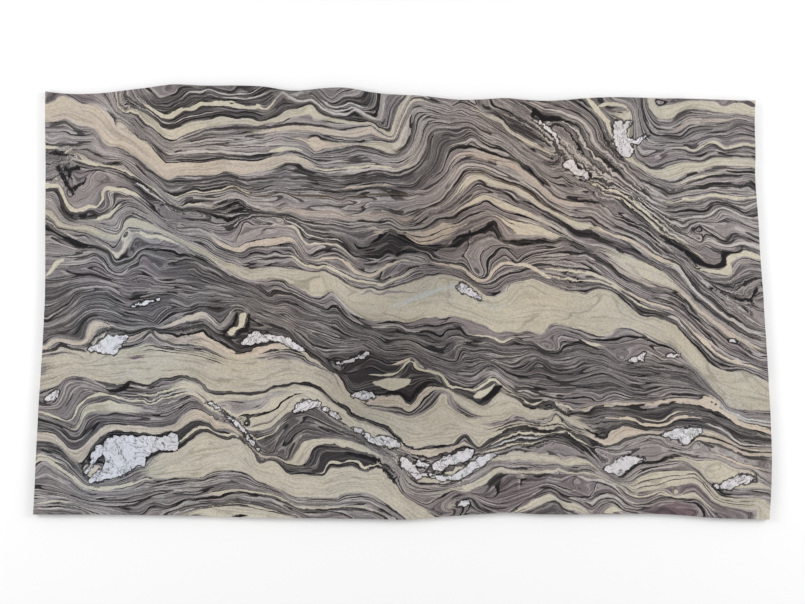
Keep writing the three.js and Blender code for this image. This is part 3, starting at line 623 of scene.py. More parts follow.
print("block lines", len(BLOCK_LINES), "fault points", len(FAULT))

# %% [markdown]
# ## From lines to a depth everywhere
#
# Between the lines the depth has to be worked out. It should change smoothly, as a bent sheet does, and
# be right along every line. That is a least squares problem: on a grid of 1 cm squares, the sum of the
# bending and of the misses is made as small as it can be. The conjugate gradient method solves it from
# a coarse grid to a fine one in two seconds or so, with no matrix stored.

# %% Smooth curves through points
GRID_LEFT, GRID_LOW, GRID_RIGHT, GRID_HIGH = -4, -4, 309, 184  # centimetres
COARSENING = [(8, 400), (4, 300), (2, 250), (1, 200)]  # square size in cm, rounds of solving
BEND, PULL, HOLD = 1.5, 0.8, 40.0  # weights of bending, of slope and of the lines
CURVE_STEP = 0.5  # centimetres between the points of a drawn curve
STEEPNESS_LIMITS = (0.12, 8.0)


def curve_through(points, closed=False):
    """A Catmull-Rom curve through given points, as closely spaced points."""
    if closed:
        held = [points[-1]] + list(points) + [points[0], points[1]]
    else:
        held = [points[0]] + list(points) + [points[-1]]
    p = np.array(held, float)
    pieces = []
    for a, b, c, d in zip(p[:-3], p[1:-2], p[2:-1], p[3:]):
        count = max(2, int(np.hypot(*(c - b)) / CURVE_STEP) + 1)
        t = np.linspace(0, 1, count, endpoint=False)[:, None]
        bend_in = 2 * a - 5 * b + 4 * c - d
        twist = 3 * b - a - 3 * c + d
        pieces.append(0.5 * (2 * b + (c - a) * t + bend_in * t**2 + twist * t**3))
    return np.concatenate(pieces + ([] if closed else [p[-1:]]))


# %% Solve for the depth of the beds


def second_differences(a, out, weight):
    """Adds the pull of a bent sheet, at each grid point, to out."""
    bend_x = a[2:] - 2 * a[1:-1] + a[:-2]
    out[2:] += weight * bend_x
    out[1:-1] -= 2 * weight * bend_x
    out[:-2] += weight * bend_x
    bend_y = a[:, 2:] - 2 * a[:, 1:-1] + a[:, :-2]
    out[:, 2:] += weight * bend_y
    out[:, 1:-1] -= 2 * weight * bend_y
    out[:, :-2] += weight * bend_y
    twist = 2 * weight * (a[1:, 1:] - a[1:, :-1] - a[:-1, 1:] + a[:-1, :-1])
    out[1:, 1:] += twist
    out[1:, :-1] -= twist
    out[:-1, 1:] -= twist
    out[:-1, :-1] += twist


def first_differences(a, out, weight):
    """Adds the pull towards a level sheet, which stops the depth from overshooting between lines."""
    slope_x = a[1:] - a[:-1]
    out[1:] += weight * slope_x
    out[:-1] -= weight * slope_x
    slope_y = a[:, 1:] - a[:, :-1]
    out[:, 1:] += weight * slope_y
    out[:, :-1] -= weight * slope_y


def finer(a, columns, rows):
    """The same sheet, read off on a finer grid."""
    x = np.linspace(0, a.shape[0] - 1, columns)
    y = np.linspace(0, a.shape[1] - 1, rows)
    i = np.clip(x.astype(int), 0, a.shape[0] - 2)
    j = np.clip(y.astype(int), 0, a.shape[1] - 2)
    u, v = (x - i)[:, None], (y - j)[None]
    near = a[i][:, j] * (1 - v) + a[i][:, j + 1] * v
    far = a[i + 1][:, j] * (1 - v) + a[i + 1][:, j + 1] * v
    return near * (1 - u) + far * u


def solve_depth(lines):
    """The depth of the beds on a grid of 1 cm squares, from a list of bed lines."""
    curves = [curve_through(points) for _, points in lines]
    spots = np.concatenate(curves)
    wanted = np.concatenate([np.full(len(c), depth) for c, (depth, _) in zip(curves, lines)])
    sheet = None
    for size, rounds in COARSENING:
        columns = round((GRID_RIGHT - GRID_LEFT) / size) + 1
        rows = round((GRID_HIGH - GRID_LOW) / size) + 1
        x = (spots[:, 0] - GRID_LEFT) / size
        y = (spots[:, 1] - GRID_LOW) / size
        i = np.clip(x.astype(int), 0, columns - 2)
        j = np.clip(y.astype(int), 0, rows - 2)
        u, v = x - i, y - j
        at = np.stack([i * rows + j, (i + 1) * rows + j, i * rows + j + 1, (i + 1) * rows + j + 1])
        share = np.stack([(1 - u) * (1 - v), u * (1 - v), (1 - u) * v, u * v])

        def spread(values):
            held = np.bincount(at.ravel(), (share * values).ravel(), columns * rows)
            return HOLD * held.reshape(columns, rows)

        def pull_of(a):
            out = spread((a.ravel()[at] * share).sum(0))
            first_differences(a, out, PULL)
            second_differences(a, out, BEND)
            return out

        if sheet is None:
            a = np.full((columns, rows), wanted.mean())
        else:
            a = finer(sheet, columns, rows)
        weight = np.bincount(at.ravel(), (share * share).ravel(), columns * rows)
        diagonal = HOLD * weight.reshape(columns, rows) + 20 * BEND + 4 * PULL
        miss = spread(wanted) - pull_of(a)
        step = miss / diagonal
        heading = step.copy()
        gain = (miss * step).sum()
        for _ in range(rounds):
            pulled = pull_of(heading)
            length = gain / (heading * pulled).sum()
            a += length * heading
            miss -= length * pulled
            step = miss / diagonal
            new_gain = (miss * step).sum()
            heading = step + new_gain / gain * heading
            gain = new_gain
        sheet = a
    return sheet


def read_sheet(sheet, x, y):
    """The value of a solved sheet at any points, in slab centimetres."""
    i = np.clip(x - GRID_LEFT, 0, sheet.shape[0] - 1.001)
    j = np.clip(y - GRID_LOW, 0, sheet.shape[1] - 1.001)
    i0, j0 = i.astype(int), j.astype(int)
    u, v = i - i0, j - j0
    low = sheet[i0, j0] * (1 - u) + sheet[i0 + 1, j0] * u
    high = sheet[i0, j0 + 1] * (1 - u) + sheet[i0 + 1, j0 + 1] * u
    return low * (1 - v) + high * v


def steepness(sheet):
    """Depth gained in each centimetre across the beds: high where the beds are squeezed thin."""
    return np.clip(np.hypot(*np.gradient(sheet)), *STEEPNESS_LIMITS)


main_depth = solve_depth(BED_LINES)
block_depth = solve_depth(BLOCK_LINES)
main_steep = steepness(main_depth)
block_steep = steepness(block_depth)
print("main depth", round(main_depth.min(), 1), "to", round(main_depth.max(), 1))
print("block depth", round(block_depth.min(), 1), "to", round(block_depth.max(), 1))

# %% [markdown]
# ## Patches that cut across the beds
#
# Some shapes don't follow one bed: pods of white quartz that grew in gaps, torn scraps of black mica
# schist beside them, a few cream lenses, and milky streaks with soft edges. Each is drawn as a closed
# outline. What gets stored is the distance to the nearest outline, positive inside, because a shader
# can make a crisp edge from a distance even where the mesh is coarser than the edge. Spots hold softer
# changes. Small ones say where the beds are crumpled. A few broad ones say where iron warms the stone,
# where its lack leaves it cool, and where extra mica darkens it.

# %% Patches of quartz, schist and cream


def outlines(text):
    """Reads closed outlines, points parted by commas and outlines by semicolons."""
    return [
        [tuple(float(v) for v in place.split()) for place in outline.split(",")]
        for outline in text.split(";")
    ]


QUARTZ_PODS = outlines("""
208.8 164.3, 211.3 161.9, 213.9 159.6, 215.4 157.6, 216.4 155.4, 215.6 159, 213.6 161.4, 211 163.4;
287.6 73.5, 288.3 74.7, 290.2 74.8, 290.6 73.8, 289 73.2;
219 147, 221 148.6, 223.5 147.4, 225 145, 227 144.6, 229.4 142.6, 228.8 140.4, 227.4 141.6, 225.6 142.4,
 223 143.6, 220.6 145;
23.2 15.5, 27 16.3, 31 16.8, 35 17.7, 38.5 19.7, 42 22.3, 45 22.3, 46.3 24.2, 47 26.5, 49 28, 52 28.9,
 58 28.8, 59.6 30.5, 59.8 33, 59.4 35.6, 57 35.8, 55 34.4, 50 34.8, 42 34.8, 34 35, 31 33.8, 29.6 31.5,
 29.3 28, 29.6 25, 29.2 21.6, 26.8 20, 24.6 17.8;
22.9 70.1, 24.4 71.7, 27.5 73.7, 29.5 75.2, 31.5 76, 35.6 76.2, 39.1 75.7, 37.6 73.7, 36.1 71.2,
 34.1 68.6, 31.5 68.9;
86.2 72.5, 88 75, 90 77, 92 77.6, 95 76.9, 99 76.2, 104 75.5, 107 74, 110 71.5, 112.3 70.3, 110 70,
 106 71.5, 103 73.2, 98 73.5, 93 73;
236 21, 240 24, 243 26, 247 26, 252 25.2, 248 23, 245 20, 243 18.3, 240 19;
259.5 35.3, 263 37, 268 38, 273 38.3, 276 37.2, 273 34.5, 271 32, 268.5 31, 266 33, 262 34.5;
281 14.2, 285 15.5, 289 17.5, 292 18.8, 296 18, 298 16.5, 294 15.2, 290 14, 286 12.7, 283 13.3;
174.5 5.3, 176 7.8, 179 8, 180 6.5, 178 5.7;
239 163, 240 160, 239.5 157, 241.5 153, 243.5 150, 245.5 149.8, 247 151.5, 247.3 154, 246 157.5,
 244.5 160, 246 163, 247.5 164.3, 245 164.2, 243.8 162, 243 164.5, 241 164.5;
245.5 157.5, 248.5 155.2, 251 156.3, 255 159.8, 252 158, 249 156.8, 247 158;
40.5 88.2, 45 89.7, 52 91.4, 51.5 90.6, 46 88.9, 42 88;
81 42, 83.5 39.6, 86 36.8, 88.5 33.4, 90.6 30.6, 92.8 29, 91.8 31, 89.6 34, 87.2 37.2, 84.4 40.4,
 82.2 42.2;
138 33.5, 142 34.5, 146 34.3, 150 32.5, 151 30.5, 148 30, 144 30.8, 140 31.8;
165 21.5, 167 24.5, 171 26.5, 175 27.5, 179 29.3, 182 28.5, 181 26, 177 24, 172 22.5, 168 20.5;
173 17.8, 178 21.2, 183 24.7, 188 27.3, 191 26.8, 187 24, 182 20.5, 178 17.6, 174 16.5;
107 44.8, 109 47.3, 112 49, 116 49.2, 119 48.3, 118 47, 114 46, 110 44.8;
131 51.8, 135 52.9, 139 52.8, 141 51, 138 49.8, 134 50.2;
125.5 65, 129 65.6, 133 67.2, 138.5 69.6, 137.5 68.3, 133 66, 129 64.6;
4.5 49.5, 7 52, 10.3 53.2, 9.3 50.2, 7 49.2;
20.5 19.4, 22.5 19.6, 24.5 22, 26.5 24.8, 28.6 27.5, 28.6 30, 27.8 31.4, 26 30, 24.2 27, 24.6 25, 23 22,
 21 20.4;
71 48.3, 74 47.2, 77 45.2, 80 43.2, 79 44.8, 76 46.8, 73 48.4;
157 23.6, 160 22.2, 163 21.6, 163.6 23, 161 24.2, 158.5 24.4;
160 18.6, 165 17.2, 170 16.2, 173 17.4, 170 17.8, 165 18.6, 161 19.6;
131 38.4, 134 37.6, 137 36, 139 35, 138.6 34.4, 136 35.2, 133 36.8;
151.5 25.5, 153.5 26, 156 23.4, 158.8 20.8, 160.5 18.6, 159 17, 156 18.4, 153.8 20.6, 152 23;
120 46.4, 123 45.2, 127 42.8, 126 42.2, 122 44, 119.6 45.4;
175 96.4, 177 97.6, 179.4 96.4, 182 94.2, 185.4 91.4, 184.6 90.6, 181.6 92.4, 178.4 93.8, 176 95;
245.6 65.4, 247.4 66.8, 249.6 67.4, 251.4 68.8, 253 68.6, 252.4 66.8, 250.4 65.8, 248 65.2;
261.6 67.6, 264 68.6, 267 68.4, 265.6 67.4, 263.4 67
""")
SCHIST_SCRAPS = outlines("""
205.3 164.6, 205.9 168.6, 207 169.7, 209 168, 211.5 166.4, 215 166.6, 218 166, 221.5 164.6, 225 162.4,
 221 163.7, 218 164.6, 214 164.6, 211 164.4, 208.5 165.8, 207 166.8, 206.3 164.8;
271.4 118.6, 271.5 120.4, 273.5 120.9, 275.6 121.6, 275.4 120.9, 273.2 120, 272.3 119.2;
262 115.8, 266 113.6, 269.5 111.8, 272.5 109, 276 106.6, 280 105.6, 283 106.2, 284.3 108.2, 284.1 110.6,
 287 111, 291 111.2, 293 112.6, 292 110.4, 288 109.8, 286 108.2, 286 105.6, 283.5 104.2, 279 104.2,
 275 105, 271.5 107.4, 269 110.2, 265 112.7, 261.8 115;
288 91.6, 291 90.8, 294.5 90.2, 297.5 89, 297 91.5, 298.6 93.8, 299.6 96.5, 298.8 96.8, 297.2 94.5,
 296.4 91.6, 293 91.6, 290 92.2;
278.5 96.2, 281 94.6, 283.5 93.4, 286.3 92.4, 285.8 93.4, 283 94.6, 281 95.8, 279.3 97;
290 73, 292 72.2, 294.4 70.2, 297 67.8, 296.2 69.6, 293.6 71.8, 291.5 73;
183 48.2, 186 50.4, 188.4 53.2, 191 55.4, 194 55.6, 192.4 53, 189.6 50.6, 186.6 48.8;
6.5 151.4, 9 152.4, 12.4 151.6, 15 150.4, 12 150.2, 9 150.8;
30 54.5, 33 54.2, 36 54.8, 39.5 56.6, 39 54.5, 36 53, 33 52.6, 31 53.2;
82 1.2, 84 2.2, 87 2.4, 89 1.6, 86 1.2;
176 117.6, 179 118.6, 183 119.4, 186 121, 189.5 122.8, 190 122, 187.5 119.8, 184.5 118.2, 180 117.2,
 177 116.8;
197 115.6, 202 114.6, 207 115.6, 211 116.2, 211.6 115.4, 207 114.4, 202 113.6, 198 114.8;
150 110.5, 153 111.6, 157 111.4, 160 110.2, 157 110, 153 110, 150 108.8;
9.5 145.5, 11 146.5, 12.6 143.5, 14.4 140, 16 136.6, 17.6 134.4, 16.6 134, 14.4 136.8, 12.4 140.4,
 10.6 143.4;
12 147, 15 145.5, 18.5 146.4, 19.5 144.6, 17.5 144.4, 15.6 142.6, 16.4 139.6, 15 140.6, 14.2 143.2;
16.6 137.4, 18.5 138.8, 20.6 139.4, 21.6 141.4, 22.6 142.6, 22 140.4, 21 138.4, 19 137.6, 17.4 136.2;
31.5 146.8, 34 147.2, 36.6 147, 36 146.4, 33 146.3;
12.5 116.6, 15 116.6, 18 115.2, 21 113.6, 23 113.2, 21 112.4, 18 112.6, 15.5 114.4, 13.5 115.6;
252 24, 256 24, 260 25.2, 264 26, 267 26.6, 266 26, 262 25, 258 23.4, 254 23.2;
79 129.4, 81 130.6, 83.5 131.6, 85.6 131, 88 129.4, 91 128, 88 128.4, 85.4 130, 83.4 130.2, 81 129;
81 126.8, 83.6 128.6, 86 129, 88.6 127.6, 86.4 127.6, 84.2 127;
79.4 76.6, 81 78.6, 83.4 80.6, 84.4 84.6, 83.6 85.2, 82.8 81.6, 80.4 79.4, 78.4 77;
88.6 85.2, 88.4 82, 87.4 79.2, 84.6 77.8, 83.4 75.6, 85.6 76.6, 88.4 78, 89.6 81.6, 89.6 84.6
""")
CREAM_LENSES = outlines("""
271.5 106.5, 275 104.3, 279 103.6, 283 103.2, 286 104.5, 287.3 106.2, 288.6 103.5, 287.5 101.3, 283 101.6,
 279 102.2, 275 103.4;
286 107.5, 287.5 109.5, 291 110.3, 294 111.2, 297.5 110, 300.4 108.8, 300.4 107.6, 297 108.2, 294 109,
 291 108.5, 288.5 107, 287 105;
228 174.5, 229.5 174.5, 232.3 171, 235 170.5, 238 171.2, 243 170.6, 245.3 169, 246 166.5, 247.2 164.6,
 246.5 168.5, 244.5 171, 240 172.4, 235 172, 233.5 170.2, 235.8 167, 238.5 164.3, 236.5 164, 233 167.4,
 230.5 170.6;
181.8 51, 184 53, 188 54.5, 191 56.5, 188.5 53, 186 51, 183.5 50.2;
5 100.6, 7 103.5, 9.5 107, 12.5 107.8, 13 107, 10.5 105.5, 8.5 103, 6 100.8;
140 56.5, 143 57.8, 147 58.5, 152 58.5, 156 58, 155 56, 152 54.5, 148 53.5, 144 54.8;
198 105, 202 106.2, 206 105, 209 103.2, 212 101.4, 214 100.2, 213 99.6, 210 101, 206 103.4, 202 104.8;
235.5 3, 237 4.6, 239.5 5.6, 242 4.6, 244 3.6, 241 3.4, 238 2.8;
10 152.5, 12.4 151, 14 152.6, 16.4 153.6, 14.6 152.2, 12.6 150.2, 10.8 151.4;
80 77.5, 82 79.6, 84.6 80, 85.4 84.8, 88 85.4, 87.6 82.4, 86.6 79.4, 84 78.6, 82.4 76
""")
MILKY_STREAKS = outlines("""
148 88, 152 90.4, 157 92.6, 162 94.6, 168 96, 174 97.4, 176 96.6, 170 94.8, 164 92.8, 158 90.4, 152 88;
184 91.4, 187 89.4, 190 88, 193 88.6, 196 90.4, 193 87.6, 190 86.8, 186 88.6, 183 90.6;
106 176, 110 176.6, 115 177.2, 112 176, 108 175.4
""")
CRUMPLED = [  # x, y, radius, strength
    (205, 163, 6, 0.5), (216, 152, 8, 0.8), (227, 140, 8, 0.8), (237, 131, 7, 0.6), (248, 125, 6, 0.4),
    (150, 24, 15, 1), (174, 22, 12, 0.8), (240, 157, 9, 0.7), (12, 148, 9, 1), (30, 76, 10, 0.7),
    (65, 78, 9, 0.6), (225, 150, 12, 0.6), (292, 93, 10, 0.9), (88, 33, 6, 0.8), (220, 100, 12, 0.5),
    (184, 116, 9, 0.6), (208, 33, 22, 0.4), (52, 50, 10, 0.4), (154, 20, 9, 0.8), (134, 37, 10, 0.5),
    (76, 44, 8, 0.5), (82, 126, 8, 0.5), (235, 38, 8, 0.5), (40, 173, 10, 0.5), (14, 142, 9, 0.8),
    (222, 152, 14, 1), (232, 142, 13, 1), (213, 160, 9, 0.8), (240, 150, 9, 0.9), (200, 166, 8, 0.6),
    (250, 134, 8, 0.6), (262, 120, 8, 0.5),
]
IRON_RICH = [  # x, y, radius, strength
    (200, 138, 55, 1), (92, 76, 30, 0.6),
]
IRON_POOR = [  # x, y, radius, strength
    (45, 92, 48, 1), (28, 25, 42, 0.9),
]
MICA_RICH = [  # x, y, radius, strength
    (158, 113, 36, 1), (150, 63, 38, 0.9),
]
print("patches", len(QUARTZ_PODS), len(SCHIST_SCRAPS), len(CREAM_LENSES))

# %% Distances to patches and to the fault


def inside(points, loop):
    """Which points lie inside a closed loop, by counting the sides that a ray crosses."""
    x, y = points[:, :1], points[:, 1:]
    x0, y0 = loop[:, 0], loop[:, 1]
    x1, y1 = np.roll(x0, -1), np.roll(y0, -1)
    spans = (y0 > y) != (y1 > y)
    rise = np.where(y1 == y0, 1e-9, y1 - y0)
    crosses = spans & (x < (x1 - x0) * (y - y0) / rise + x0)
    return crosses.sum(axis=1) % 2 == 1


def distance_to(points, curve):
    """The distance from each point to the nearest point of a finely drawn curve."""
    least = np.full(len(points), 99.0)
    for part in np.array_split(curve, max(1, len(curve) // 40)):
        gap = np.hypot(points[:, :1] - part[:, 0], points[:, 1:] - part[:, 1])
        least = np.minimum(least, gap.min(axis=1))
    return least


REACH = 6.0  # centimetres, the furthest distance that is kept


def patch_distance(x, y, outlines, reach=REACH):
    """How far inside the nearest patch each point lies, or how far outside as a minus."""
    result = np.full(len(x), -reach)
    for outline in outlines:
        loop = curve_through(outline, closed=True)
        low, high = loop.min(axis=0) - reach, loop.max(axis=0) + reach
        near = np.flatnonzero((x > low[0]) & (x < high[0]) & (y > low[1]) & (y < high[1]))
        points = np.stack([x[near], y[near]], axis=1)
        gap = distance_to(points, loop)
        signed = np.where(inside(points, loop), gap, -gap)
        result[near] = np.maximum(result[near], signed)
    return result


def spot_strength(x, y, spots):
    """How strongly each point is inside any of some round spots: (x, y, radius, strength)."""
    result = np.zeros(len(x))
    for at_x, at_y, radius, strength in spots:
        share = np.clip(1.5 - 1.5 * np.hypot(x - at_x, y - at_y) / radius, 0, 1)
        result = np.maximum(result, strength * share)
    return result


# %% [markdown]
# ## Store it all on the mesh
#
# The beds run through the thickness of the slab, tilted a little, so the back shows nearly the same
# banding, moved sideways. Each point of the mesh keeps four small vectors: its place in the main beds,
# its place in the block's beds, its distances to the patches, and its weather: how rich it is in iron
# and in mica, and the distance to the nearest milky streak.

# %% Attributes
TILT = (0.35, -0.55)  # centimetres sideways for each centimetre of depth
BLOCK_OFFSET = 200.0  # added to depths in the block, so that one number tells them apart
BLOCK_CORNERS = [(330.0, 80.0), (330.0, 200.0), (180.0, 200.0)]  # past the slab, to close its outline

place = np.empty(len(slab_data.vertices) * 3)
slab_data.vertices.foreach_get("co", place)
place = place.reshape(-1, 3)
buried = (face_height - place[:, 2]) / CM
tape_x = (place[:, 0] - slab_low.x) / CM + TILT[0] * buried
tape_y = (place[:, 1] - slab_low.y) / CM + TILT[1] * buried


def store(name, *values):
    """Keeps three numbers at each point of the slab's mesh, under a name."""
    attribute = slab_data.attributes.new(name, "FLOAT_VECTOR", "POINT")
    table = np.stack(values, axis=1).astype(np.float32)
    attribute.data.foreach_set("vector", table.ravel())


fault_loop = curve_through(FAULT)
fault_gap = distance_to(np.stack([tape_x, tape_y], axis=1), fault_loop)
block_outline = np.concatenate([fault_loop, BLOCK_CORNERS])
beyond = inside(np.stack([tape_x, tape_y], axis=1), block_outline)
crumple = spot_strength(tape_x, tape_y, CRUMPLED)
store(
    "main_beds",
    read_sheet(main_depth, tape_x, tape_y),
    read_sheet(main_steep, tape_x, tape_y),
    crumple,
)
store(
    "block_beds",
    BLOCK_OFFSET + read_sheet(block_depth, tape_x, tape_y),
    read_sheet(block_steep, tape_x, tape_y),
    np.where(beyond, fault_gap, -fault_gap).clip(-REACH, REACH),
)
store(
    "patches",
    patch_distance(tape_x, tape_y, QUARTZ_PODS),
    patch_distance(tape_x, tape_y, SCHIST_SCRAPS),
    patch_distance(tape_x, tape_y, CREAM_LENSES),
)
iron = spot_strength(tape_x, tape_y, IRON_RICH) - spot_strength(tape_x, tape_y, IRON_POOR)
mica = spot_strength(tape_x, tape_y, MICA_RICH)
store("weather", iron, mica, patch_distance(tape_x, tape_y, MILKY_STREAKS))
print("attributes", [a.name for a in slab_data.attributes][-4:])

# %% [markdown]
# ## Stones
#
# Only a few kinds of stone make up the slab. Cream and blush beds are nearly pure quartz. Grey beds
# hold fine mica. Black seams are almost all mica, and the white pods are vein quartz. The base colours
# are linear values, as the shader expects.

# %% Colours of the stones
STONES = {
    "cream": (0.52, 0.485, 0.39),
    "straw": (0.475, 0.44, 0.352),
    "sand": (0.53, 0.46, 0.375),
    "blush": (0.42, 0.36, 0.31),
    "pale grey": (0.27, 0.245, 0.24),
    "grey": (0.195, 0.175, 0.175),
    "mauve": (0.165, 0.14, 0.145),
    "dark grey": (0.09, 0.082, 0.084),
    "charcoal": (0.036, 0.032, 0.034),
    "mica": (0.012, 0.011, 0.012),
    "quartz": (0.62, 0.605, 0.62),
    "milk": (0.48, 0.495, 0.47),
    "maroon": (0.15, 0.108, 0.12),
    "rust": (0.105, 0.082, 0.06),
    "lamina": (0.46, 0.432, 0.405),
    "shale": (0.042, 0.037, 0.039),
    "dust": (0.5, 0.48, 0.46),
}
GROUND_STONE = "grey"


def named(name):
    """A stone's colour with an alpha of 1, as colour sockets want it."""
    return (*STONES[name], 1.0)


# %% Helpers for shader nodes


def add_node(tree, kind, **inputs):
    """Adds a node. A keyword such as Scale=3 sets that input, or links it to an output socket."""
    node = tree.nodes.new(kind)
    for name, value in inputs.items():
        feed(tree, node.inputs[name.replace("_", " ")], value)
    return node


def feed(tree, socket, value):
    """Links a value to a socket if it is an output, and sets it if it is a number or colour."""
    if isinstance(value, bpy.types.NodeSocket):
        tree.links.new(value, socket)
    elif value is not None:
        socket.default_value = value


def math_node(tree, operation, *values):
    """One step of arithmetic, giving the socket of its result."""
    node = tree.nodes.new("ShaderNodeMath")
    node.operation = operation
    for socket, value in zip(node.inputs, values):
        feed(tree, socket, value)
    return node.outputs[0]


def smooth_step(tree, value, low, high):
    """0 below low, 1 above high, and an S-curve between."""
    node = tree.nodes.new("ShaderNodeMapRange")
    node.interpolation_type = "SMOOTHSTEP"
    node.clamp = False  # the S-curve already stops at 0 and 1
    feed(tree, node.inputs["Value"], value)
    feed(tree, node.inputs["From Min"], low)
    feed(tree, node.inputs["From Max"], high)
    return node.outputs["Result"]


def blend(tree, factor, first, second, mode="MIX"):
    """One colour laid over another."""
    node = tree.nodes.new("ShaderNodeMix")
    node.data_type = "RGBA"
    node.blend_type = mode
    feed(tree, node.inputs[0], factor)
    feed(tree, node.inputs[6], first)
    feed(tree, node.inputs[7], second)
    return node.outputs[2]


def stretched_noise(tree, x, y, z, detail=2.0, roughness=0.5, distortion=0.0):
    """Noise at a place built from three sockets or numbers, so that it can be stretched along beds."""
    spot = tree.nodes.new("ShaderNodeCombineXYZ")
    for socket, value in zip(spot.inputs, (x, y, z)):
        feed(tree, socket, value)
    node = tree.nodes.new("ShaderNodeTexNoise")
    node.inputs["Scale"].default_value = 1.0
    node.inputs["Detail"].default_value = detail
    node.inputs["Roughness"].default_value = roughness
    node.inputs["Distortion"].default_value = distortion
    tree.links.new(spot.outputs[0], node.inputs["Vector"])
    return node.outputs["Fac"]


def noise_at(tree, place, scale, detail, roughness=0.5, distortion=0.0):
    """Plain noise at a place in metres."""
    node = tree.nodes.new("ShaderNodeTexNoise")
    numbers = {"Scale": scale, "Detail": detail, "Roughness": roughness, "Distortion": distortion}
    for name, value in {"Vector": place, **numbers}.items():
        feed(tree, node.inputs[name], value)
    return node.outputs["Fac"]


def place_group(tree, group):
    """Adds a node that uses a node group."""
    node = tree.nodes.new("ShaderNodeGroup")
    node.node_tree = group
    return node


def new_group(name, inputs, outputs):
    """An empty node group with named sockets. Returns it with its input and output nodes."""
    group = bpy.data.node_groups.new(name, "ShaderNodeTree")
    for socket_name, kind in inputs:
        group.interface.new_socket(socket_name, in_out="INPUT", socket_type=kind)
    for socket_name, kind in outputs:
        group.interface.new_socket(socket_name, in_out="OUTPUT", socket_type=kind)
    return group, group.nodes.new("NodeGroupInput"), group.nodes.new("NodeGroupOutput")


FLOAT, VECTOR, COLOR = "NodeSocketFloat", "NodeSocketVector", "NodeSocketColor"

# %% [markdown]
# ## A group that finds the place in the beds
#
# The two sets of beds meet at the fault, and this group picks the right one at each point. It also adds
# the crinkling that is too fine for the bed lines: a slow wander everywhere, and tight crumpling
# where the stone was torn.

# %% The "bed place" group
CRINKLE = 0.62  # centimetres, the wander of a bed about its line
CRUMPLE = 3.0  # centimetres, the crumpling where the stone was torn
FRAY = 0.16  # centimetres, how far single crystals reach across the edge of a bed
FAULT_WANDER = 1.2  # centimetres, how far the fault swings from side to side
END_WANDER = 3.0  # centimetres, how unevenly the beds end

bed_place, entry, result = new_group(
    "bed place",
    [("Main beds", VECTOR), ("Block beds", VECTOR), ("Position", VECTOR)],
    [("Depth", FLOAT), ("Along", FLOAT), ("Steepness", FLOAT)],
)
main = add_node(bed_place, "ShaderNodeSeparateXYZ", Vector=entry.outputs["Main beds"])
block = add_node(bed_place, "ShaderNodeSeparateXYZ", Vector=entry.outputs["Block beds"])
spot = add_node(bed_place, "ShaderNodeSeparateXYZ", Vector=entry.outputs["Position"])
along_cm = math_node(bed_place, "MULTIPLY_ADD", spot.outputs[0], 1 / CM, -slab_low.x / CM)
fault_wobble = noise_at(bed_place, entry.outputs["Position"], 22.0, 2.0)
wobbled = math_node(bed_place, "MULTIPLY_ADD", fault_wobble, FAULT_WANDER, block.outputs[2])
side = math_node(bed_place, "GREATER_THAN", wobbled, FAULT_WANDER / 2)


def pick(first, second):
    """The first value outside the block, and the second inside it."""
    node = bed_place.nodes.new("ShaderNodeMix")
    feed(bed_place, node.inputs[0], side)
    feed(bed_place, node.inputs[2], first)
    feed(bed_place, node.inputs[3], second)
    return node.outputs[0]


depth = pick(main.outputs[0], block.outputs[0])
steep = pick(main.outputs[1], block.outputs[1])
wander = noise_at(bed_place, entry.outputs["Position"], 24.0, 4.0)
torn = noise_at(bed_place, entry.outputs["Position"], 30.0, 4.0, 0.65, 0.8)
wander_by = math_node(bed_place, "MULTIPLY_ADD", wander, 2 * CRINKLE, -CRINKLE)
torn_by = math_node(bed_place, "MULTIPLY_ADD", torn, 2 * CRUMPLE, -CRUMPLE)
torn_by = math_node(bed_place, "MULTIPLY", torn_by, main.outputs[2])
crystals = noise_at(bed_place, entry.outputs["Position"], 420.0, 1.0)
frayed = math_node(bed_place, "MULTIPLY_ADD", crystals, 2 * FRAY, wander_by)
shift = math_node(bed_place, "ADD", frayed, torn_by)
moved = math_node(bed_place, "MULTIPLY_ADD", shift, steep, depth)
feed(bed_place, result.inputs["Depth"], moved)
ragged_along = math_node(bed_place, "MULTIPLY_ADD", wander, END_WANDER, along_cm)
feed(bed_place, result.inputs["Along"], ragged_along)
feed(bed_place, result.inputs["Steepness"], steep)
print("bed place nodes", len(bed_place.nodes))

# %% [markdown]
# ## A group that paints one bed
#
# A bed is a lens: it has a middle depth and a half thickness, and it thins out towards both ends. The
# mask is 1 where a point is nearer to the middle than the half thickness there. A bed's thickness is
# given as a range of depths. A thin seam's thickness is given in true centimetres, so it is multiplied
# by the steepness, which turns centimetres into depth. The thinning is one minus an even power of the
# place along the bed, from -1 at one end to 1 at the other. A high power keeps the bed thick almost to
# its ends. The group is kept to a few nodes, because it is used again for each of the beds and seams.

# %% The "lens" group
lens, entry, result = new_group(
    "lens",
    [(name, FLOAT) for name in ("Depth", "Along", "Thickness", "Middle", "Half range", "Half cm")]
    + [(name, FLOAT) for name in ("Along scale", "Along shift", "Fullness")],
    [("Mask", FLOAT)],
)
reach = math_node(
    lens,
    "MULTIPLY_ADD",
    entry.outputs["Along"],
    entry.outputs["Along scale"],
    entry.outputs["Along shift"],
)
thinning = math_node(lens, "POWER", reach, entry.outputs["Fullness"])
full = math_node(lens, "SUBTRACT", 1.0, thinning)
half = math_node(
    lens,
    "MULTIPLY_ADD",
    entry.outputs["Half cm"],
    entry.outputs["Thickness"],
    entry.outputs["Half range"],
)
half = math_node(lens, "MULTIPLY", half, full)
mask = math_node(lens, "COMPARE", entry.outputs["Depth"], entry.outputs["Middle"], half)
feed(lens, result.inputs["Mask"], mask)
print("lens nodes", len(lens.nodes))


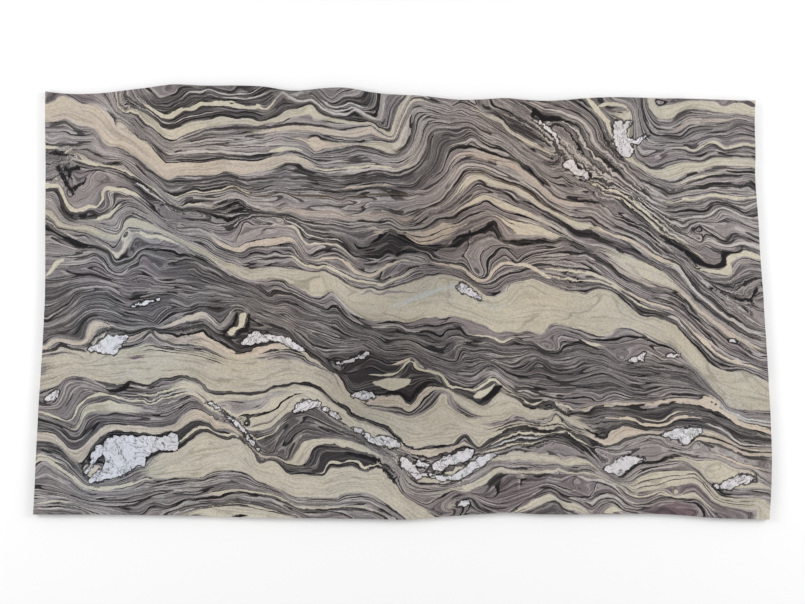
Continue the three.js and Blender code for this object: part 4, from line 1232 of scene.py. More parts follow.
def place_lens(tree, rock, middle, half_range, half_cm, start, end, taper):
    """Adds one bed to a tree. rock holds the sockets Depth, Along and Thickness."""
    node = place_group(tree, lens)
    half_length = (end - start) / 2
    share = max(0.05, 1 - taper / half_length)
    numbers = {"Middle": middle, "Half range": half_range, "Half cm": half_cm}
    numbers["Along scale"] = 1 / half_length
    numbers["Along shift"] = -(start + end) / 2 / half_length
    numbers["Fullness"] = max(2, 2 * round(math.log(0.15) / math.log(share) / 2))
    for name, value in {**rock, **numbers}.items():
        feed(tree, node.inputs[name], value)
    return node.outputs["Mask"]


# %% [markdown]
# ## The order of the beds
#
# This is the log of the pile. Each bed is a stone, the depths of its top and bottom, where it starts
# and ends along the slab, and over how many centimetres it thins out. Each seam is a stone, a depth, a
# true thickness in centimetres, and the same three numbers. Later ones lie over earlier ones.

# %% Beds and seams


def rock_log(text):
    """Reads entries such as "pale grey -8 1 45 135 8;" into a stone and its five numbers."""
    result = []
    for entry in " ".join(text.split()).split("; "):
        words = entry.split()
        result.append((" ".join(words[:-5]), *(float(word) for word in words[-5:])))
    return result


BEDS = rock_log("""
grey -8 1 45 135 8; charcoal 1 9.3 46 148 8; charcoal 10.6 14.3 38 148 8; cream 14.4 17 34 165 8;
pale grey 17.4 18.2 40 120 8; sand 18.9 21.3 92 165 8; dark grey 19.3 21.2 56 84 8;
pale grey 21.4 27.6 56 116 8; sand 23.6 25.2 110 134 8; cream 23.8 26.2 133 156 8;
dark grey 30.2 31.7 50 104 8; pale grey 30.6 35.5 118 152 8; dark grey 40.2 44.4 48 190 8;
sand 31.8 37.3 -10 119 8; mauve 22 31.6 -10 36 8; pale grey 37.4 46 -10 45 8; dark grey 46.5 58 -10 15 8;
pale grey 47.2 50.2 56 300 8; blush 45 47 176 232 8; cream 50.8 52.6 58 76 8; cream 51.2 52.5 176 236 8;
blush 50.5 53 92 160 8; cream 55.4 56.7 176 220 8; sand 57.6 59.6 140 178 8; cream 57.6 59.3 192 224 8;
cream 53 55.8 14 38 6; pale grey 53.2 56 34 60 8; dark grey 57.3 60 34 60 8; pale grey 60.2 62.1 -10 40 8;
charcoal 60.5 62.8 98 170 8; grey 60.4 62.8 168 200 8; charcoal 60 61.2 195 232 8;
dark grey 62.6 64.4 -10 36 4; pale grey 64.6 76.4 -10 40 8; pale grey 63.6 65.2 60 130 8;
sand 65.3 67.4 74 112 8; mauve 67.5 70.2 76 110 8; mauve 68.6 70.2 122 165 8; grey 70.6 76.4 86 150 8;
mauve 65.8 76.4 162 218 8; dark grey 73 76.3 196 300 8; straw 76.6 80.6 -10 400 8;
grey 80.6 83.3 -10 305 8; dark grey 83.5 103 -10 300 8; grey 84 92 -10 34 12; mauve 86 96 16 64 14;
sand 103.2 106 -10 36 8; sand 103 105 52 78 8; charcoal 105.4 109 24 80 8; charcoal 103.2 109 76 160 8;
charcoal 105 109 150 205 8; straw 109 127.3 -10 232 8; sand 109.2 112 26 114 8; grey 112.5 115 30 78 14;
grey 112.3 115.5 93 128 8; grey 110.5 113 -10 20 8; mauve 115 122 -10 8 3; sand 109.3 113.2 120 172 8;
mauve 113.8 117 140 188 10; pale grey 118 121.5 186 232 12; grey 128.6 134 -10 60 10;
cream 128.2 133.8 58 134 8; pale grey 130.5 132.8 66 112 14; dark grey 134.8 136 12 50 8;
cream 135.7 138.2 17 45 3; dark grey 138 142 -10 88 8; mauve 138 141 42 70 8;
dark grey 134.8 142 82 150 6; cream 133.9 134.7 84 118 4; cream 128 133.3 116 152 5;
sand 142 144.9 -10 104 4; cream 142 145.1 104 146 4; charcoal 145.2 148.3 -10 86 4;
charcoal 145.4 148.4 100 152 5; mauve 148.6 161 -10 49 4; cream 149 161.2 46 176 5;
grey 161.9 169.6 -10 165 8; cream 167.6 169.2 72 152 12; grey 169.8 173.4 -10 160 8;
cream 173.6 181 64 112 12; sand 128 130.4 148 182 6; charcoal 127.5 134.8 184 236 6;
pale grey 135 137.3 205 232 5; cream 137 139.8 150 236 8; grey 140.2 144.8 165 236 8;
cream 145 146.7 170 246 6; mauve 147.2 152.3 165 284 8; cream 152.4 154.2 200 232 4;
mauve 104.8 106.4 226 294 8; sand 106.4 107.8 226 310 6; charcoal 108.2 118.6 226 310 8;
sand 119 126.8 229 262 5; sand 119.3 123.4 266 310 5; pale grey 127.9 134.8 242 310 8;
sand 124.5 129.5 270 310 5; cream 135.2 137.5 262 310 6; grey 137.7 141 243 310 8;
cream 141 145.4 244 310 5; mauve 145.6 156 246 310 8; grey 190 201.4 180 310 8; cream 201.5 205 240 310 8;
grey 205.2 213.3 240 310 8; blush 209.5 211.6 266 296 6; dark grey 213.6 216.5 262 310 8;
grey 216.5 226.4 240 310 8; maroon 222 224 246 268 6; cream 226.5 231 244 310 4; grey 231 237 240 310 8;
pale grey 238.8 241.8 255 310 8; dark grey 246.3 248.4 262 310 8; mauve 53 56.3 232 303 6;
cream 56.6 61.2 237 268 6; sand 59.4 61.8 262 303 6; blush 61.3 63 238 268 6; mauve 64.4 69.8 248 306 8;
charcoal 73.2 76.1 242 266 5; pale grey 46.5 49.6 236 262 8; pale grey 56.8 58.9 270 304 8;
dark grey 194 205 180 252 6; mauve 206 213 180 252 6; dark grey 214 222 180 250 6;
charcoal 217 221 180 250 6; dark grey 228 236 180 248 8; dark grey 240 246 186 252 14;
grey 246.5 256 186 262 12; dark grey 256.4 259 190 262 12; charcoal 262.6 264 230 268 8;
pale grey 250 255.5 262 310 10; pale grey 258 261 276 310 8; pale grey 269 272.6 266 310 8;
dark grey 273 275.4 268 310 8; charcoal 278.4 280.6 276 300 8; pale grey 281 284 284 310 8;
cream 146.5 148.2 259 279 3; maroon 148.9 158 258 277 2; dark grey 154.8 162 203 226 3;
cream 82.22 82.66 29 47 4; blush 109.3 112.2 34 72 8; mauve 112.5 114 34 80 10;
maroon 117.4 118.2 40 48 3; charcoal 13.6 17.4 186 217 4; cream 18 20 184 216 3;
dark grey 20.4 21.6 186 220 6; charcoal 59 61.4 42 58 4; charcoal 56 58.8 58 102 5
""")
SEAMS = rock_log("""
mica 1.6 0.9 48 92 4; lamina 3.6 0.5 62 98 8; mica 5 0.8 48 62 4; lamina 6.2 0.5 78 99 8;
mica 8.4 1.2 50 98 8; cream 9.8 1.3 47 103 5; lamina 9.5 0.8 104 145 8; lamina 4.8 0.5 116 142 8;
lamina 7.3 0.5 116 143 8; lamina 12.6 0.3 40 80 8; mica 13.9 0.9 38 150 5; mica 17.2 0.7 36 64 5;
shale 18.4 0.9 62 128 8; mica 23.4 0.4 118 152 8; mica 26.5 0.5 116 160 8; cream 28.6 1.3 98 114 5;
lamina 29 0.9 56 98 8; mica 30.4 0.7 127 139 5; mica 31.7 0.4 36 100 8; cream 35.6 0.6 116 160 8;
lamina 36.8 0.5 120 165 8; shale 38.3 0.6 100 165 8; shale 39.8 0.8 36 190 8; shale 38.6 0.6 4 26 4;
mica 39.5 0.5 12 27 4; shale 42.4 0.6 3 24 4; cream 45 1.2 -5 13 3; blush 43 0.7 126 152 8;
mica 44.6 0.9 48 82 8; mica 44.6 0.8 105 152 8; mica 44.9 0.9 166 240 8; cream 45.6 0.7 56 92 8;
rust 46.8 0.45 86 160 8; mica 52.6 0.9 76 90 4; mica 57 0.6 112 145 8; mica 57.1 0.5 165 215 8;
shale 58.5 0.4 148 178 8; shale 59.1 0.4 148 178 8; mica 60.2 1.8 134 234 5; mica 60 0.9 60 85 8;
mica 52.9 0.8 30 39 3; cream 56.3 0.7 18 62 8; shale 56.8 0.5 15 60 8; mica 58.6 0.9 36 60 8;
cream 62.1 1.4 -5 46 4; mica 63.3 1.2 -5 34 4; mica 63 0.9 106 190 5; cream 63.8 0.6 100 134 8;
sand 65 1 165 202 8; cream 65.6 1.2 26 38 4; mica 65.2 0.4 76 108 8; mica 67.5 0.4 76 114 8;
sand 67.9 0.8 116 158 8; mica 70.4 0.5 84 150 8; cream 71.5 1 106 160 8; cream 71 0.8 212 250 8;
cream 73.5 0.6 212 262 8; shale 76.3 0.6 108 165 8; mica 76.3 0.6 220 306 8; mica 76.3 0.5 36 48 3;
pale grey 78 0.5 135 165 8; cream 82.2 1 43 62 4; mica 81.9 0.7 152 182 8; mica 83.4 1 -5 145 8;
mica 83.3 0.8 150 238 8; cream 82.9 0.7 180 202 8; shale 86.5 0.5 47 75 8; mica 87 0.5 25 46 8;
mica 88.6 1 96 122 8; shale 92 0.5 106 124 8; mica 94.9 0.5 2 32 8; mica 95 0.4 44 62 8;
mica 95.5 0.6 190 228 8; shale 98.5 0.5 178 206 8; sand 104.4 0.9 150 158 8; cream 105.8 0.7 140 200 5;
mica 109 1 -5 24 3; mica 109 0.9 38 80 8; mica 108.9 1.9 76 110 8; mica 108.5 1.3 104 140 8;
mica 108.4 2 126 174 8; shale 112.7 0.4 33 76 8; shale 112 0.6 8 16 3; mica 112 0.8 94 114 8;
mica 113.5 0.7 136 169 4; shale 121.6 0.5 186 232 8; shale 124 0.5 190 232 8; mica 127.3 1.1 27 190 4;
mica 127.6 0.9 183 242 4; mica 127.6 0.4 -5 14 3; cream 134.1 0.8 3 80 4; mica 135.9 0.5 6 26 8;
mica 133.3 0.6 86 114 4; mica 136 0.5 84 104 8; cream 136.9 0.5 86 108 8; mica 145.2 1.1 20 62 4;
cream 147.4 0.8 60 90 4; mica 145.3 0.9 104 144 4; cream 148 0.8 118 147 4; mica 148.5 0.9 47 152 4;
cream 161.5 1.1 -5 52 8; cream 156 0.7 -5 16 8; mica 169.6 0.8 44 154 8; shale 173.3 0.5 54 110 8;
lamina 169.6 0.4 -5 20 8; cream 172.5 0.6 -5 18 8; lamina 175.2 0.5 -5 18 8; mica 130.6 0.8 157 184 4;
mica 136.3 1.1 152 184 4; lamina 131 0.6 190 236 8; lamina 129 0.4 200 236 8; mica 154.9 0.9 200 232 5;
cream 107.6 0.7 194 230 4; mica 104.5 0.5 180 286 8; mica 108.4 1.5 196 310 8; cream 110.6 0.5 250 276 8;
sand 113.2 0.9 238 278 8; mica 118.5 1.5 229 258 4; lamina 115.5 0.6 278 310 8; mica 124 0.8 266 310 8;
mica 127.3 0.9 232 263 8; shale 130 0.6 270 310 8; sand 131.6 0.7 280 310 8; mica 135 1.1 242 270 4;
shale 142.6 0.3 246 300 8; shale 144 0.3 246 300 8; cream 147 0.6 244 284 8; mica 213.6 0.9 249 275 8;
cream 221.2 0.8 270 310 8; shale 222.3 0.7 264 310 8; cream 234 0.6 266 286 8; mica 237.7 1.2 248 310 8;
cream 241.6 0.8 262 310 8; mica 246.6 0.8 262 300 8; mica 50.4 0.6 150 226 8; mica 50.3 0.7 224 303 6;
sand 51.5 1.1 234 270 6; lamina 52.7 0.8 262 303 6; shale 54.6 0.6 236 303 8; mica 56.1 0.7 270 303 6;
shale 62.1 0.4 252 270 6; mica 64 1.3 228 272 4; mica 64.1 0.6 268 303 6; mica 66.2 0.5 256 278 6;
shale 68 0.4 258 303 8; sand 70.9 0.9 243 267 5; shale 69.9 0.5 240 304 8; sand 72.4 1 268 304 6;
lamina 74.7 0.6 263 276 4; shale 48.2 0.4 248 303 8; shale 46.4 0.4 246 300 8; mica 44.9 0.9 238 262 5;
mica 210.8 0.6 180 253 4; cream 231 0.9 227 250 4; mica 234.6 0.6 205 248 8; mica 237.6 0.8 203 249 8;
lamina 239.3 0.5 204 262 8; mica 242 0.8 199 256 8; lamina 243.4 0.7 206 262 6; mica 246.4 0.9 204 262 8;
lamina 248.2 0.6 206 266 8; mica 250.5 0.8 206 270 8; lamina 252.4 0.7 208 272 8;
mica 254.2 0.6 210 270 8; mica 256 0.8 190 276 6; lamina 257.6 0.5 208 274 8; mica 259.6 0.5 222 270 8;
cream 261.2 0.7 230 276 8; mica 263.2 0.5 232 272 8; cream 264.8 0.6 236 280 8; mica 266 1.2 240 289 5;
shale 268.6 0.5 266 290 6; shale 270.8 0.4 268 310 8; mica 274.8 0.7 272 296 6; mica 279.4 1 276 300 5;
shale 283 0.4 286 310 6; shale 218.4 0.4 250 310 8; shale 225.3 0.6 246 310 8; shale 232.4 0.5 256 310 8;
shale 240.2 0.4 264 310 8; shale 243.6 0.5 262 310 8; lamina 249.2 0.6 266 310 8;
shale 252.8 0.4 268 310 8; mica 256.6 0.6 274 310 6; lamina 258.6 0.7 276 310 6; mica 262 0.6 276 310 6;
mica 53.1 0.6 160 235 8; cream 131.4 0.8 44 68 5; mica 131 0.5 47 58 4; lamina 133.2 0.6 46 68 5;
mica 133.8 0.5 44 66 5; cream 134.5 0.7 88 112 4; cream 82.45 0.8 228 238 4; mica 81.5 0.8 230 268 5;
mica 148.7 0.7 256 279 3; lamina 148.3 0.6 226 247 4; lamina 150.6 0.6 230 246 3;
shale 149.6 0.5 228 250 4; shale 174.4 0.5 60 112 6; shale 176 0.5 62 108 6; lamina 175.2 0.5 56 70 4;
sand 107 1.3 276 310 4; milk 95 0.7 286 310 4; lamina 100 0.6 284 310 4; pale grey 89 0.7 284 310 4;
shale 115.4 0.4 44 82 6; mica 116.4 0.3 46 80 5; maroon 118.4 0.9 42 47 2; mica 129 1 188 236 8;
cream 130 0.7 190 232 8; mica 131.2 1 188 234 8; milk 132.2 0.8 190 214 8; mica 133.2 0.9 188 232 8;
cream 134.2 0.6 186 212 8; mica 87.5 0.5 206 236 6; shale 90 0.4 186 230 6; mica 97 0.6 180 232 6;
shale 84.6 0.5 160 200 6; rust 50.85 0.4 160 226 8; rust 45.9 0.4 56 100 8; mica 59.3 0.7 40 58 4;
mica 60.5 0.8 42 60 4; lamina 59.9 0.4 44 58 4; mica 56.3 0.7 58 86 4; mica 57.4 0.9 56 99 4;
lamina 57.9 0.4 66 100 4; mica 58.5 0.9 60 108 4; mica 61.5 1 100 136 4; lamina 62.2 0.4 104 130 4;
mica 65 0.7 218 240 4; mica 60.9 1.3 55 94 4; shale 61.8 0.4 62 86 4; mica 56.8 0.6 100 132 4
""")
print("beds", len(BEDS), "seams", len(SEAMS))

# %% [markdown]
# ## Laminae
#
# Fine laminae run through every bed. They are noise stretched along the beds: it changes quickly with
# depth and slowly along. A broad set and a fine set are added. Mica also gathers in threads, thin dark
# lines that run on for metres. A thread is a place where a slow noise has one certain value, just as a
# contour line on a map is a place of one certain height. A pale thread runs beside each dark one. The
# same group gives the swelling and thinning of the seams along their length, and the feathering of one
# bed into the next.

# %% The "laminae" group
THREAD_WIDTH = 0.2  # centimetres
WIDEST_SHARE = 0.17  # of the space between threads, where the beds are squeezed thin

laminae, entry, result = new_group(
    "laminae",
    [("Depth", FLOAT), ("Along", FLOAT), ("Steepness", FLOAT)],
    [(name, FLOAT) for name in ("Pale", "Dark", "Threads", "Swell", "Feather")],
)
depth = entry.outputs["Depth"]
along_x = entry.outputs["Along"]


def bed_noise(along_scale, depth_scale, seed, detail, roughness=0.6):
    """Noise stretched along the beds. The seed moves it to a fresh part of the noise."""
    return stretched_noise(
        laminae,
        math_node(laminae, "MULTIPLY", along_x, along_scale),
        math_node(laminae, "MULTIPLY", depth, depth_scale),
        seed,
        detail,
        roughness,
    )


def both(first, first_share, second, second_share):
    """Two masks added, each with its own share."""
    part = math_node(laminae, "MULTIPLY", first, first_share)
    return math_node(laminae, "MULTIPLY_ADD", second, second_share, part)


broad = bed_noise(0.018, 0.6, 7.0, 2.0)
fine = bed_noise(0.018, 3.0, 11.0, 4.0, 0.8)
pale = both(
    smooth_step(laminae, broad, 0.52, 0.62), 0.14, smooth_step(laminae, fine, 0.53, 0.58), 0.56
)
dark = both(
    smooth_step(laminae, broad, 0.48, 0.38), 0.2, smooth_step(laminae, fine, 0.47, 0.42), 0.7
)


def thread_pair(along_scale, depth_scale, seed, levels):
    """Dark threads along the contour lines of a slow noise, and a pale thread beside each."""
    slow = bed_noise(along_scale, depth_scale, seed, 1.0)
    contours = math_node(laminae, "FRACT", math_node(laminae, "MULTIPLY", slow, levels))
    width = levels * depth_scale * THREAD_WIDTH / 2
    width = math_node(laminae, "MULTIPLY", entry.outputs["Steepness"], width)
    width = math_node(laminae, "MINIMUM", width, WIDEST_SHARE)
    dark_thread = math_node(laminae, "COMPARE", contours, 0.5, width)
    beside = math_node(laminae, "MULTIPLY_ADD", width, 2.0, contours)
    return dark_thread, math_node(laminae, "COMPARE", beside, 0.5, width)


presence = bed_noise(0.05, 0.35, 31.0, 2.0)
here = smooth_step(laminae, presence, 0.42, 0.5)
elsewhere = smooth_step(laminae, presence, 0.57, 0.49)
long_dark, long_pale = thread_pair(0.022, 0.3, 23.0, 7.0)
short_dark, short_pale = thread_pair(0.02, 0.9, 41.0, 2.0)
threads = math_node(laminae, "MULTIPLY", long_dark, here)
threads = math_node(laminae, "MULTIPLY_ADD", short_dark, elsewhere, threads)
pale_threads = math_node(laminae, "MULTIPLY", long_pale, here)
pale_threads = math_node(laminae, "MULTIPLY_ADD", short_pale, elsewhere, pale_threads)
pale = both(pale, 1.0, pale_threads, 0.6)
swell = math_node(laminae, "MULTIPLY_ADD", bed_noise(0.16, 0.55, 3.0, 2.0, 0.5), 4.2, -0.9)
feather = math_node(laminae, "SUBTRACT", fine, 0.5)
for socket, value in zip(result.inputs, (pale, dark, threads, swell, feather)):
    feed(laminae, socket, value)
print("laminae nodes", len(laminae.nodes))

# %% [markdown]
# ## The banded stone
#
# One group lays all of it together: the beds and seams from the log, the laminae, then the patches,
# the mottling and the specks. The laminae show strongly in the grey beds and faintly in the cream
# ones, so their strength follows the lightness of the bed.

# %% The "banded stone" group
FEATHER = 3.5  # centimetres of depth
FEATHER_ALONG = 40.0  # centimetres along the slab
SPLIT = 4.0  # centimetres, how far the laminae split the schist into streaks
STREAKS = 0.24  # how much the pale laminae show in black seams
FADE_IN_CREAM = 0.76  # how much of the laminae is lost in the palest beds
PATCH_EDGE = 0.12  # centimetres, half the width over which a patch fades in
CREAM_RAG, MILK_RAG, QUARTZ_RAG, SCHIST_RAG = 0.4, 1.4, 1.9, 0.7  # centimetres, how ragged each is
CRACK_WIDTH = 0.011  # as a share of the range of the noise whose contour they follow
MICA_SHADE = 0.3  # how much darker the mica-rich parts are
STAIN = 0.065  # how far iron warms the stone, or its absence cools it

banded, entry, result = new_group(
    "banded stone",
    [(name, FLOAT) for name in ("Depth", "Along", "Steepness")]
    + [(name, FLOAT) for name in ("Pale", "Dark", "Threads", "Swell", "Feather")]
    + [("Patches", VECTOR), ("Weather", VECTOR), ("Position", VECTOR)],
    [("Color", COLOR), ("Mica", FLOAT), ("Grain", FLOAT)],
)
steep = entry.outputs["Steepness"]
swell = entry.outputs["Swell"]
feather = entry.outputs["Feather"]
feathered = math_node(banded, "MULTIPLY", feather, steep)
rock = {
    "Depth": math_node(banded, "MULTIPLY_ADD", feathered, FEATHER, entry.outputs["Depth"]),
    "Along": math_node(banded, "MULTIPLY_ADD", feather, FEATHER_ALONG, entry.outputs["Along"]),
    "Thickness": math_node(banded, "MULTIPLY", swell, steep),
}

colour = named(GROUND_STONE)
for stone, top, bottom, start, end, taper in BEDS:
    middle, half_range = (top + bottom) / 2, (bottom - top) / 2
    mask = place_lens(banded, rock, middle, half_range, 0.0, start, end, taper)
    colour = blend(banded, mask, colour, named(stone))

lightness = add_node(banded, "ShaderNodeRGBToBW", Color=colour).outputs[0]
plainness = smooth_step(banded, lightness, 0.16, 0.46)
strength = math_node(banded, "MULTIPLY_ADD", plainness, -FADE_IN_CREAM, 1.0)
lit = math_node(banded, "MULTIPLY_ADD", lightness, 3.0, 0.3)
pale = math_node(banded, "MULTIPLY", entry.outputs["Pale"], strength)
pale = math_node(banded, "MULTIPLY", pale, lit)
dark = math_node(banded, "MULTIPLY", entry.outputs["Dark"], strength)
colour = blend(banded, pale, colour, named("lamina"))
colour = blend(banded, dark, colour, named("shale"))
threads = math_node(banded, "MULTIPLY", entry.outputs["Threads"], strength)
colour = blend(banded, math_node(banded, "MULTIPLY", threads, 0.95), colour, named("mica"))

# seams aren't feathered as beds are, but they shift a little where they swell
wiggle = math_node(banded, "MULTIPLY_ADD", swell, 0.2, -0.2)
rock["Depth"] = math_node(banded, "MULTIPLY_ADD", wiggle, steep, entry.outputs["Depth"])
rock["Along"] = math_node(banded, "MULTIPLY_ADD", wiggle, 5.0, entry.outputs["Along"])
for stone, middle, width, start, end, taper in SEAMS:
    mask = place_lens(banded, rock, middle, 0.0, width / 2, start, end, taper)
    colour = blend(banded, mask, colour, named(stone))

# pale laminae show through the black seams
lightness = add_node(banded, "ShaderNodeRGBToBW", Color=colour).outputs[0]
blackness = smooth_step(banded, lightness, 0.09, 0.04)
streaks = math_node(banded, "MULTIPLY", entry.outputs["Pale"], blackness)
streaks = math_node(banded, "MULTIPLY", streaks, STREAKS)
colour = blend(banded, streaks, colour, named("lamina"))

# patches
patch = add_node(banded, "ShaderNodeSeparateXYZ", Vector=entry.outputs["Patches"])
ragged = noise_at(banded, entry.outputs["Position"], 48.0, 4.0)
rag = math_node(banded, "MULTIPLY_ADD", ragged, 2.0, -1.0)
cream_in = math_node(banded, "ADD", patch.outputs[2], math_node(banded, "MULTIPLY", rag, CREAM_RAG))
cream_mask = smooth_step(banded, cream_in, -PATCH_EDGE, PATCH_EDGE)
colour = blend(banded, cream_mask, colour, named("cream"))
weather = add_node(banded, "ShaderNodeSeparateXYZ", Vector=entry.outputs["Weather"])
milk_in = math_node(banded, "MULTIPLY_ADD", rag, MILK_RAG, weather.outputs[2])
colour = blend(banded, smooth_step(banded, milk_in, -0.8, 1.4), colour, named("milk"))
quartz_in = math_node(banded, "MULTIPLY_ADD", rag, QUARTZ_RAG, patch.outputs[0])
rim_mask = smooth_step(banded, math_node(banded, "MULTIPLY_ADD", swell, 0.3, quartz_in), -0.42, -0.2)
colour = blend(banded, math_node(banded, "MULTIPLY", rim_mask, 0.85), colour, named("mica"))
quartz_mask = smooth_step(banded, quartz_in, -PATCH_EDGE, PATCH_EDGE)
vein_mask = smooth_step(banded, noise_at(banded, entry.outputs["Position"], 34.0, 4.0), 0.5, 0.68)
quartz_colour = blend(banded, vein_mask, named("quartz"), named("milk"))
cracks = noise_at(banded, entry.outputs["Position"], 11.0, 5.0, 0.7, 0.8)
crack_mask = math_node(banded, "COMPARE", cracks, 0.5, CRACK_WIDTH)
fleck_mask = smooth_step(banded, cracks, 0.64, 0.67)
crack_mask = math_node(banded, "ADD", crack_mask, fleck_mask)
crack_mask = math_node(banded, "MULTIPLY", crack_mask, 0.8)
quartz_colour = blend(banded, crack_mask, quartz_colour, named("shale"))
colour = blend(banded, quartz_mask, colour, quartz_colour)
schist_in = math_node(banded, "ADD", patch.outputs[1], math_node(banded, "MULTIPLY", rag, SCHIST_RAG))
schist_in = math_node(banded, "MULTIPLY_ADD", feather, SPLIT, schist_in)
schist_mask = smooth_step(banded, schist_in, -PATCH_EDGE, PATCH_EDGE)
colour = blend(banded, schist_mask, colour, named("mica"))

# mottling: clouds a few centimetres across, and grains a few millimetres across
clouds = noise_at(banded, entry.outputs["Position"], 7.0, 4.0)
grains = noise_at(banded, entry.outputs["Position"], 150.0, 3.0)
cloud_light = math_node(banded, "MULTIPLY_ADD", clouds, 0.34, 0.83)
grain_light = math_node(banded, "MULTIPLY_ADD", grains, 0.7, 0.64)
light = math_node(banded, "MULTIPLY", cloud_light, grain_light)
mica_light = math_node(banded, "MULTIPLY_ADD", weather.outputs[1], -MICA_SHADE, 1.0)
light = math_node(banded, "MULTIPLY", light, mica_light)
shade = add_node(banded, "ShaderNodeCombineXYZ", X=light, Y=light, Z=light)
colour = blend(banded, 1.0, colour, shade.outputs[0], "MULTIPLY")
tints = noise_at(banded, entry.outputs["Position"], 2.6, 3.0)
stain = math_node(banded, "MULTIPLY_ADD", tints, 2.0, -0.9)
stain = math_node(banded, "ADD", stain, weather.outputs[0])
tint = add_node(
    banded,
    "ShaderNodeCombineXYZ",
    X=math_node(banded, "MULTIPLY_ADD", stain, STAIN, 1.0),
    Y=0.988,
    Z=math_node(banded, "MULTIPLY_ADD", stain, -STAIN, 1.0),
)
colour = blend(banded, 1.0, colour, tint.outputs[0], "MULTIPLY")
final_light = add_node(banded, "ShaderNodeRGBToBW", Color=colour).outputs[0]
mica = smooth_step(banded, final_light, 0.1, 0.03)
feed(banded, result.inputs["Color"], colour)
feed(banded, result.inputs["Mica"], mica)
feed(banded, result.inputs["Grain"], grains)
print("banded stone nodes", len(banded.nodes))

# %% [markdown]
# ## Three finishes on one stone
#
# The same banding shows on all sides, but the surface differs. The face was ground and polished until
# it is glossy, with mica that stays a little duller than quartz. The back is as the saw left it: matt,
# pale with dust, and marked by the blades in faint straight lines. The sides are split rock.


# %% A material that reads the banding


def stone_material(name, roughness):
    """A material whose colour is the banded stone. Returns it, its shader and the useful sockets."""
    material = bpy.data.materials.new(name)
    material.use_nodes = True
    tree = material.node_tree
    tree.nodes.clear()
    output = tree.nodes.new("ShaderNodeOutputMaterial")
    shader = tree.nodes.new("ShaderNodeBsdfPrincipled")
    shader.inputs["Roughness"].default_value = roughness
    tree.links.new(shader.outputs[0], output.inputs["Surface"])
    spot = tree.nodes.new("ShaderNodeTexCoord").outputs["Object"]
    stored = {}
    for attribute_name in ("main_beds", "block_beds", "patches", "weather"):
        attribute = tree.nodes.new("ShaderNodeAttribute")
        attribute.attribute_name = attribute_name
        stored[attribute_name] = attribute.outputs["Vector"]
    place_node = place_group(tree, bed_place)
    feed(tree, place_node.inputs["Main beds"], stored["main_beds"])
    feed(tree, place_node.inputs["Block beds"], stored["block_beds"])
    feed(tree, place_node.inputs["Position"], spot)
    fine_bands = place_group(tree, laminae)
    stone = place_group(tree, banded)
    for socket in ("Depth", "Along", "Steepness"):
        feed(tree, fine_bands.inputs[socket], place_node.outputs[socket])
        feed(tree, stone.inputs[socket], place_node.outputs[socket])
    for socket in fine_bands.outputs:
        feed(tree, stone.inputs[socket.name], socket)
    feed(tree, stone.inputs["Patches"], stored["patches"])
    feed(tree, stone.inputs["Weather"], stored["weather"])
    feed(tree, stone.inputs["Position"], spot)
    return material, tree, shader, stone, spot


def roughen(tree, shader, height, strength, distance):
    """Gives a shader small relief. distance is in metres, for a height of 1."""
    relief = tree.nodes.new("ShaderNodeBump")
    relief.inputs["Strength"].default_value = strength
    relief.inputs["Distance"].default_value = distance
    feed(tree, relief.inputs["Height"], height)
    feed(tree, shader.inputs["Normal"], relief.outputs["Normal"])


# %% Polished face
POLISH = 0.13  # roughness of the polished quartz
MICA_DULLNESS = 0.05  # how much rougher the mica is

polished, tree, shader, stone, spot = stone_material("polished quartzite", POLISH)
feed(tree, shader.inputs["Base Color"], stone.outputs["Color"])
gloss = math_node(tree, "MULTIPLY_ADD", stone.outputs["Mica"], MICA_DULLNESS, POLISH)
gloss = math_node(tree, "MULTIPLY_ADD", stone.outputs["Grain"], 0.04, gloss)
feed(tree, shader.inputs["Roughness"], gloss)
roughen(tree, shader, stone.outputs["Grain"], 0.12, 0.0004)
print("polished", len(tree.nodes), "nodes")

# %% Broken sides
broken, tree, shader, stone, spot = stone_material("broken quartzite", 0.85)
dusty = blend(tree, 0.3, stone.outputs["Color"], named("dust"))
feed(tree, shader.inputs["Base Color"], dusty)
crag = noise_at(tree, spot, 60.0, 8.0, 0.65)
roughen(tree, shader, crag, 0.8, 0.003)
print("broken", len(tree.nodes), "nodes")

# %% Sawn back
sawn, tree, shader, stone, spot = stone_material("sawn quartzite", 0.7)
dusty = blend(tree, 0.42, stone.outputs["Color"], named("dust"))
axes = add_node(tree, "ShaderNodeSeparateXYZ", Vector=spot)
sway = noise_at(tree, spot, 1.6, 1.0)
swayed = math_node(tree, "MULTIPLY_ADD", sway, 0.05, axes.outputs[1])
marks = stretched_noise(
    tree,
    math_node(tree, "MULTIPLY", axes.outputs[0], 1.2),
    math_node(tree, "MULTIPLY", swayed, 240.0),
    0.0,
    3.0,
)
mark_light = math_node(tree, "MULTIPLY_ADD", marks, 0.22, 0.89)
shade = add_node(tree, "ShaderNodeCombineXYZ", X=mark_light, Y=mark_light, Z=mark_light)
dusty = blend(tree, 1.0, dusty, shade.outputs[0], "MULTIPLY")
feed(tree, shader.inputs["Base Color"], dusty)
roughen(tree, shader, marks, 0.5, 0.0008)
print("sawn", len(tree.nodes), "nodes")

for finish in (polished, broken, sawn):
    slab_data.materials.append(finish)

# %% [markdown]
# ## Floor and light
#
# The slab lies on a plain pale floor. The sky around is an even white, and dimmer straight
# above, where the polished face would mirror it to a camera overhead. Two large soft lamps, one on
# each side, give the edges a faint shadow. They are low enough that the face doesn't mirror them.

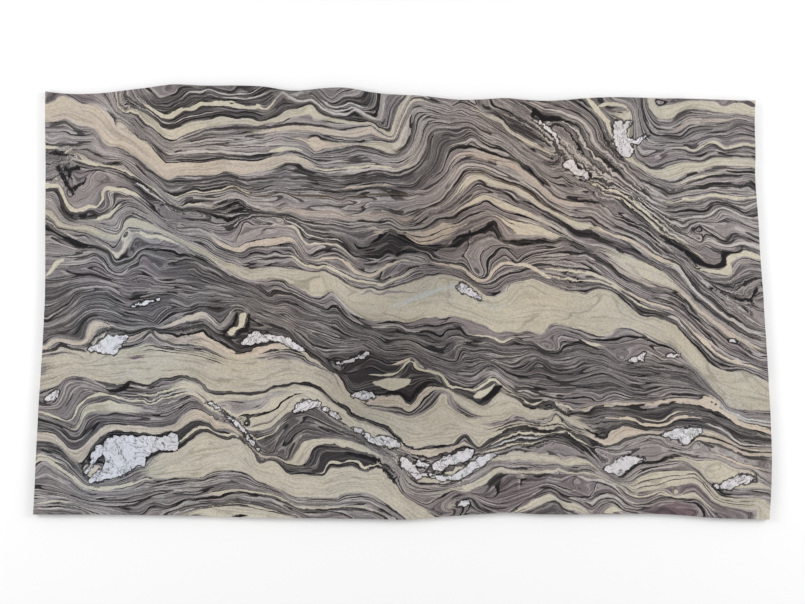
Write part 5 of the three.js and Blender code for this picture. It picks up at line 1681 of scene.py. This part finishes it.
# %% Floor
FLOOR_SIZE = 30.0  # metres
FLOOR_GAP = 0.0005  # metres, so that the back and the floor don't share a plane

floor_mesh = bmesh.new()
bmesh.ops.create_grid(floor_mesh, x_segments=2, y_segments=2, size=FLOOR_SIZE / 2)
floor_data = bpy.data.meshes.new("floor")
floor_mesh.to_mesh(floor_data)
floor_mesh.free()
floor = bpy.data.objects.new("floor", floor_data)
scene.collection.objects.link(floor)
floor.location.z = slab_low.z - FLOOR_GAP
floor_finish = bpy.data.materials.new("pale floor")
floor_finish.use_nodes = True
floor_shader = floor_finish.node_tree.nodes["Principled BSDF"]
floor_shader.inputs["Base Color"].default_value = (0.9, 0.9, 0.9, 1.0)
floor_shader.inputs["Roughness"].default_value = 0.9
floor_data.materials.append(floor_finish)

# %% Light
SKY = 0.76
ZENITH = 0.1  # how bright the sky is straight above, as a share of the rest
LAMP_POWER = 120.0  # watts, each
LAMP_SIZE = (2.5, 3.0)  # metres
LAMP_SPOT = (4.2, 1.0, 3.6)  # metres, the right lamp, and the left one mirrors it

world = bpy.data.worlds.new("studio")
world.use_nodes = True
sky = world.node_tree
facing = add_node(sky, "ShaderNodeSeparateXYZ", Vector=sky.nodes.new("ShaderNodeTexCoord").outputs[0])
overhead = smooth_step(sky, facing.outputs[2], 0.88, 0.96)
brightness = math_node(sky, "MULTIPLY_ADD", overhead, SKY * (ZENITH - 1), SKY)
feed(sky, sky.nodes["Background"].inputs["Strength"], brightness)
sky.nodes["Background"].inputs["Color"].default_value = (1.0, 1.0, 1.0, 1.0)
scene.world = world
for side in (-1, 1):
    lamp_data = bpy.data.lights.new("soft lamp", "AREA")
    lamp_data.shape = "RECTANGLE"
    lamp_data.size, lamp_data.size_y = LAMP_SIZE
    lamp_data.energy = LAMP_POWER
    lamp = bpy.data.objects.new("soft lamp", lamp_data)
    scene.collection.objects.link(lamp)
    lamp.location = (side * LAMP_SPOT[0], LAMP_SPOT[1], LAMP_SPOT[2])
    lamp.rotation_euler = (-lamp.location).to_track_quat("-Z", "Y").to_euler()
scene.view_settings.view_transform = "Standard"
